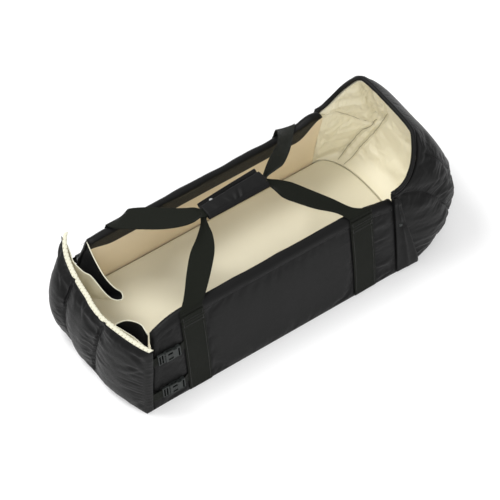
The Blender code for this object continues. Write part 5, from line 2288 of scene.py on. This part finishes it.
@dataclass(frozen=True)
class Studio:
    """Camera, floor and soft lights."""

    eye: Triple = (-1.7044, -2.4349, 4.0185)
    ahead: Triple = (0.3426, 0.4950, -0.7985)
    right: Triple = (0.8223, -0.5691, 0.0)
    lens: float = 180.99
    grey: float = 0.68  # shade of the floor
    glow: float = 0.24  # light that the floor adds to itself for the camera and for reflections
    sky: float = 0.8  # shade of the surroundings

    def build(self) -> None:
        """Make the camera, the floor, the world and the lamps."""
        scene = bpy.context.scene
        scene.view_settings.view_transform = "Standard"
        camera = placed("camera", bpy.data.cameras.new("camera"))
        camera.data.lens = self.lens
        camera.data.clip_end = 50.0
        ahead, right = Vector(self.ahead).normalized(), Vector(self.right).normalized()
        turn = Matrix((right, right.cross(ahead), -ahead)).transposed().to_4x4()
        camera.matrix_world = Matrix.Translation(Vector(self.eye)) @ turn
        scene.camera = camera
        self.floor()
        self.world()
        self.lamp("key", (-1.0, 0.9, 3.0), 1.3, 72.0)
        self.lamp("fill", (-1.4, -2.8, 2.6), 2.4, 72.0)

    def floor(self) -> None:
        """Pale floor that keeps the soft shadow."""
        mesh = bpy.data.meshes.new("studio_floor")
        bm = bmesh.new()
        bmesh.ops.create_grid(bm, x_segments=1, y_segments=1, size=20.0)
        bm.to_mesh(mesh)
        bm.free()
        made = placed("studio_floor", mesh)
        g = Graph("studio_floor")
        rays = g.add("ShaderNodeLightPath")
        camera, glossy, through = (Term(g, rays.outputs[f"Is {n} Ray"]) for n in ("Camera", "Glossy", "Transmission"))
        seen = g.math("MAXIMUM", g.math("MAXIMUM", camera, glossy), through)
        plain = g.add("ShaderNodeBsdfDiffuse", None, {"Color": (self.grey, self.grey, self.grey, 1.0)})
        glow = g.add("ShaderNodeEmission", None, {"Color": (1.0, 1.0, 1.0, 1.0), "Strength": seen * self.glow})
        both = g.add("ShaderNodeAddShader", None, {0: plain.outputs[0], 1: glow.outputs[0]})
        g.add("ShaderNodeOutputMaterial", None, {0: both.outputs[0]})
        made.data.materials.append(g.material)
        made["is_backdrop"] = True

    def world(self) -> None:
        """Pale surroundings, the same for every ray."""
        world = bpy.data.worlds.new("studio")
        bpy.context.scene.world = world
        world.use_nodes = True
        back = world.node_tree.nodes["Background"]
        back.inputs["Color"].default_value = (self.sky, self.sky, self.sky, 1.0)

    def lamp(self, name: str, spot: Triple, size: float, power: float) -> None:
        """Soft square lamp aimed at the cot.

        Args:
            name: Name of the lamp.
            spot: Where it stands.
            size: Its edge length.
            power: Its power in watts.
        """
        data = bpy.data.lights.new(name, "AREA")
        data.shape = "SQUARE"
        data.size = size
        data.energy = power
        made = placed(name, data)
        aim = (Vector((0.0, 0.0, 0.1)) - Vector(spot)).to_track_quat("-Z", "Y")
        made.matrix_world = Matrix.Translation(Vector(spot)) @ aim.to_matrix().to_4x4()


def box_rows() -> list[list[float]]:
    """Lowest and highest corner of the whole object as plain numbers."""
    return [[float(part) for part in corner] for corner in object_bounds()]


def main(packed_box: list[list[float]]) -> None:
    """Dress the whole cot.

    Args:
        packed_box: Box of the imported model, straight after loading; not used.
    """
    logging.basicConfig(level=logging.INFO, format="%(name)s %(message)s")
    Studio().build()
    Bedding().build()
    for side in Side:
        LongSide(side).build()
        CarryHandle(side).build()
        for position in ("lower", "upper"):
            SideBuckle(side, position).build()
    Hood().build()
    FLAP.build()
    Gusset(Side.NEAR, NEAR_EDGE).build()
    Gusset(Side.FAR, FAR_EDGE).build()
    GripWrap().build()


if __name__ == "__main__":
    main(box_rows())
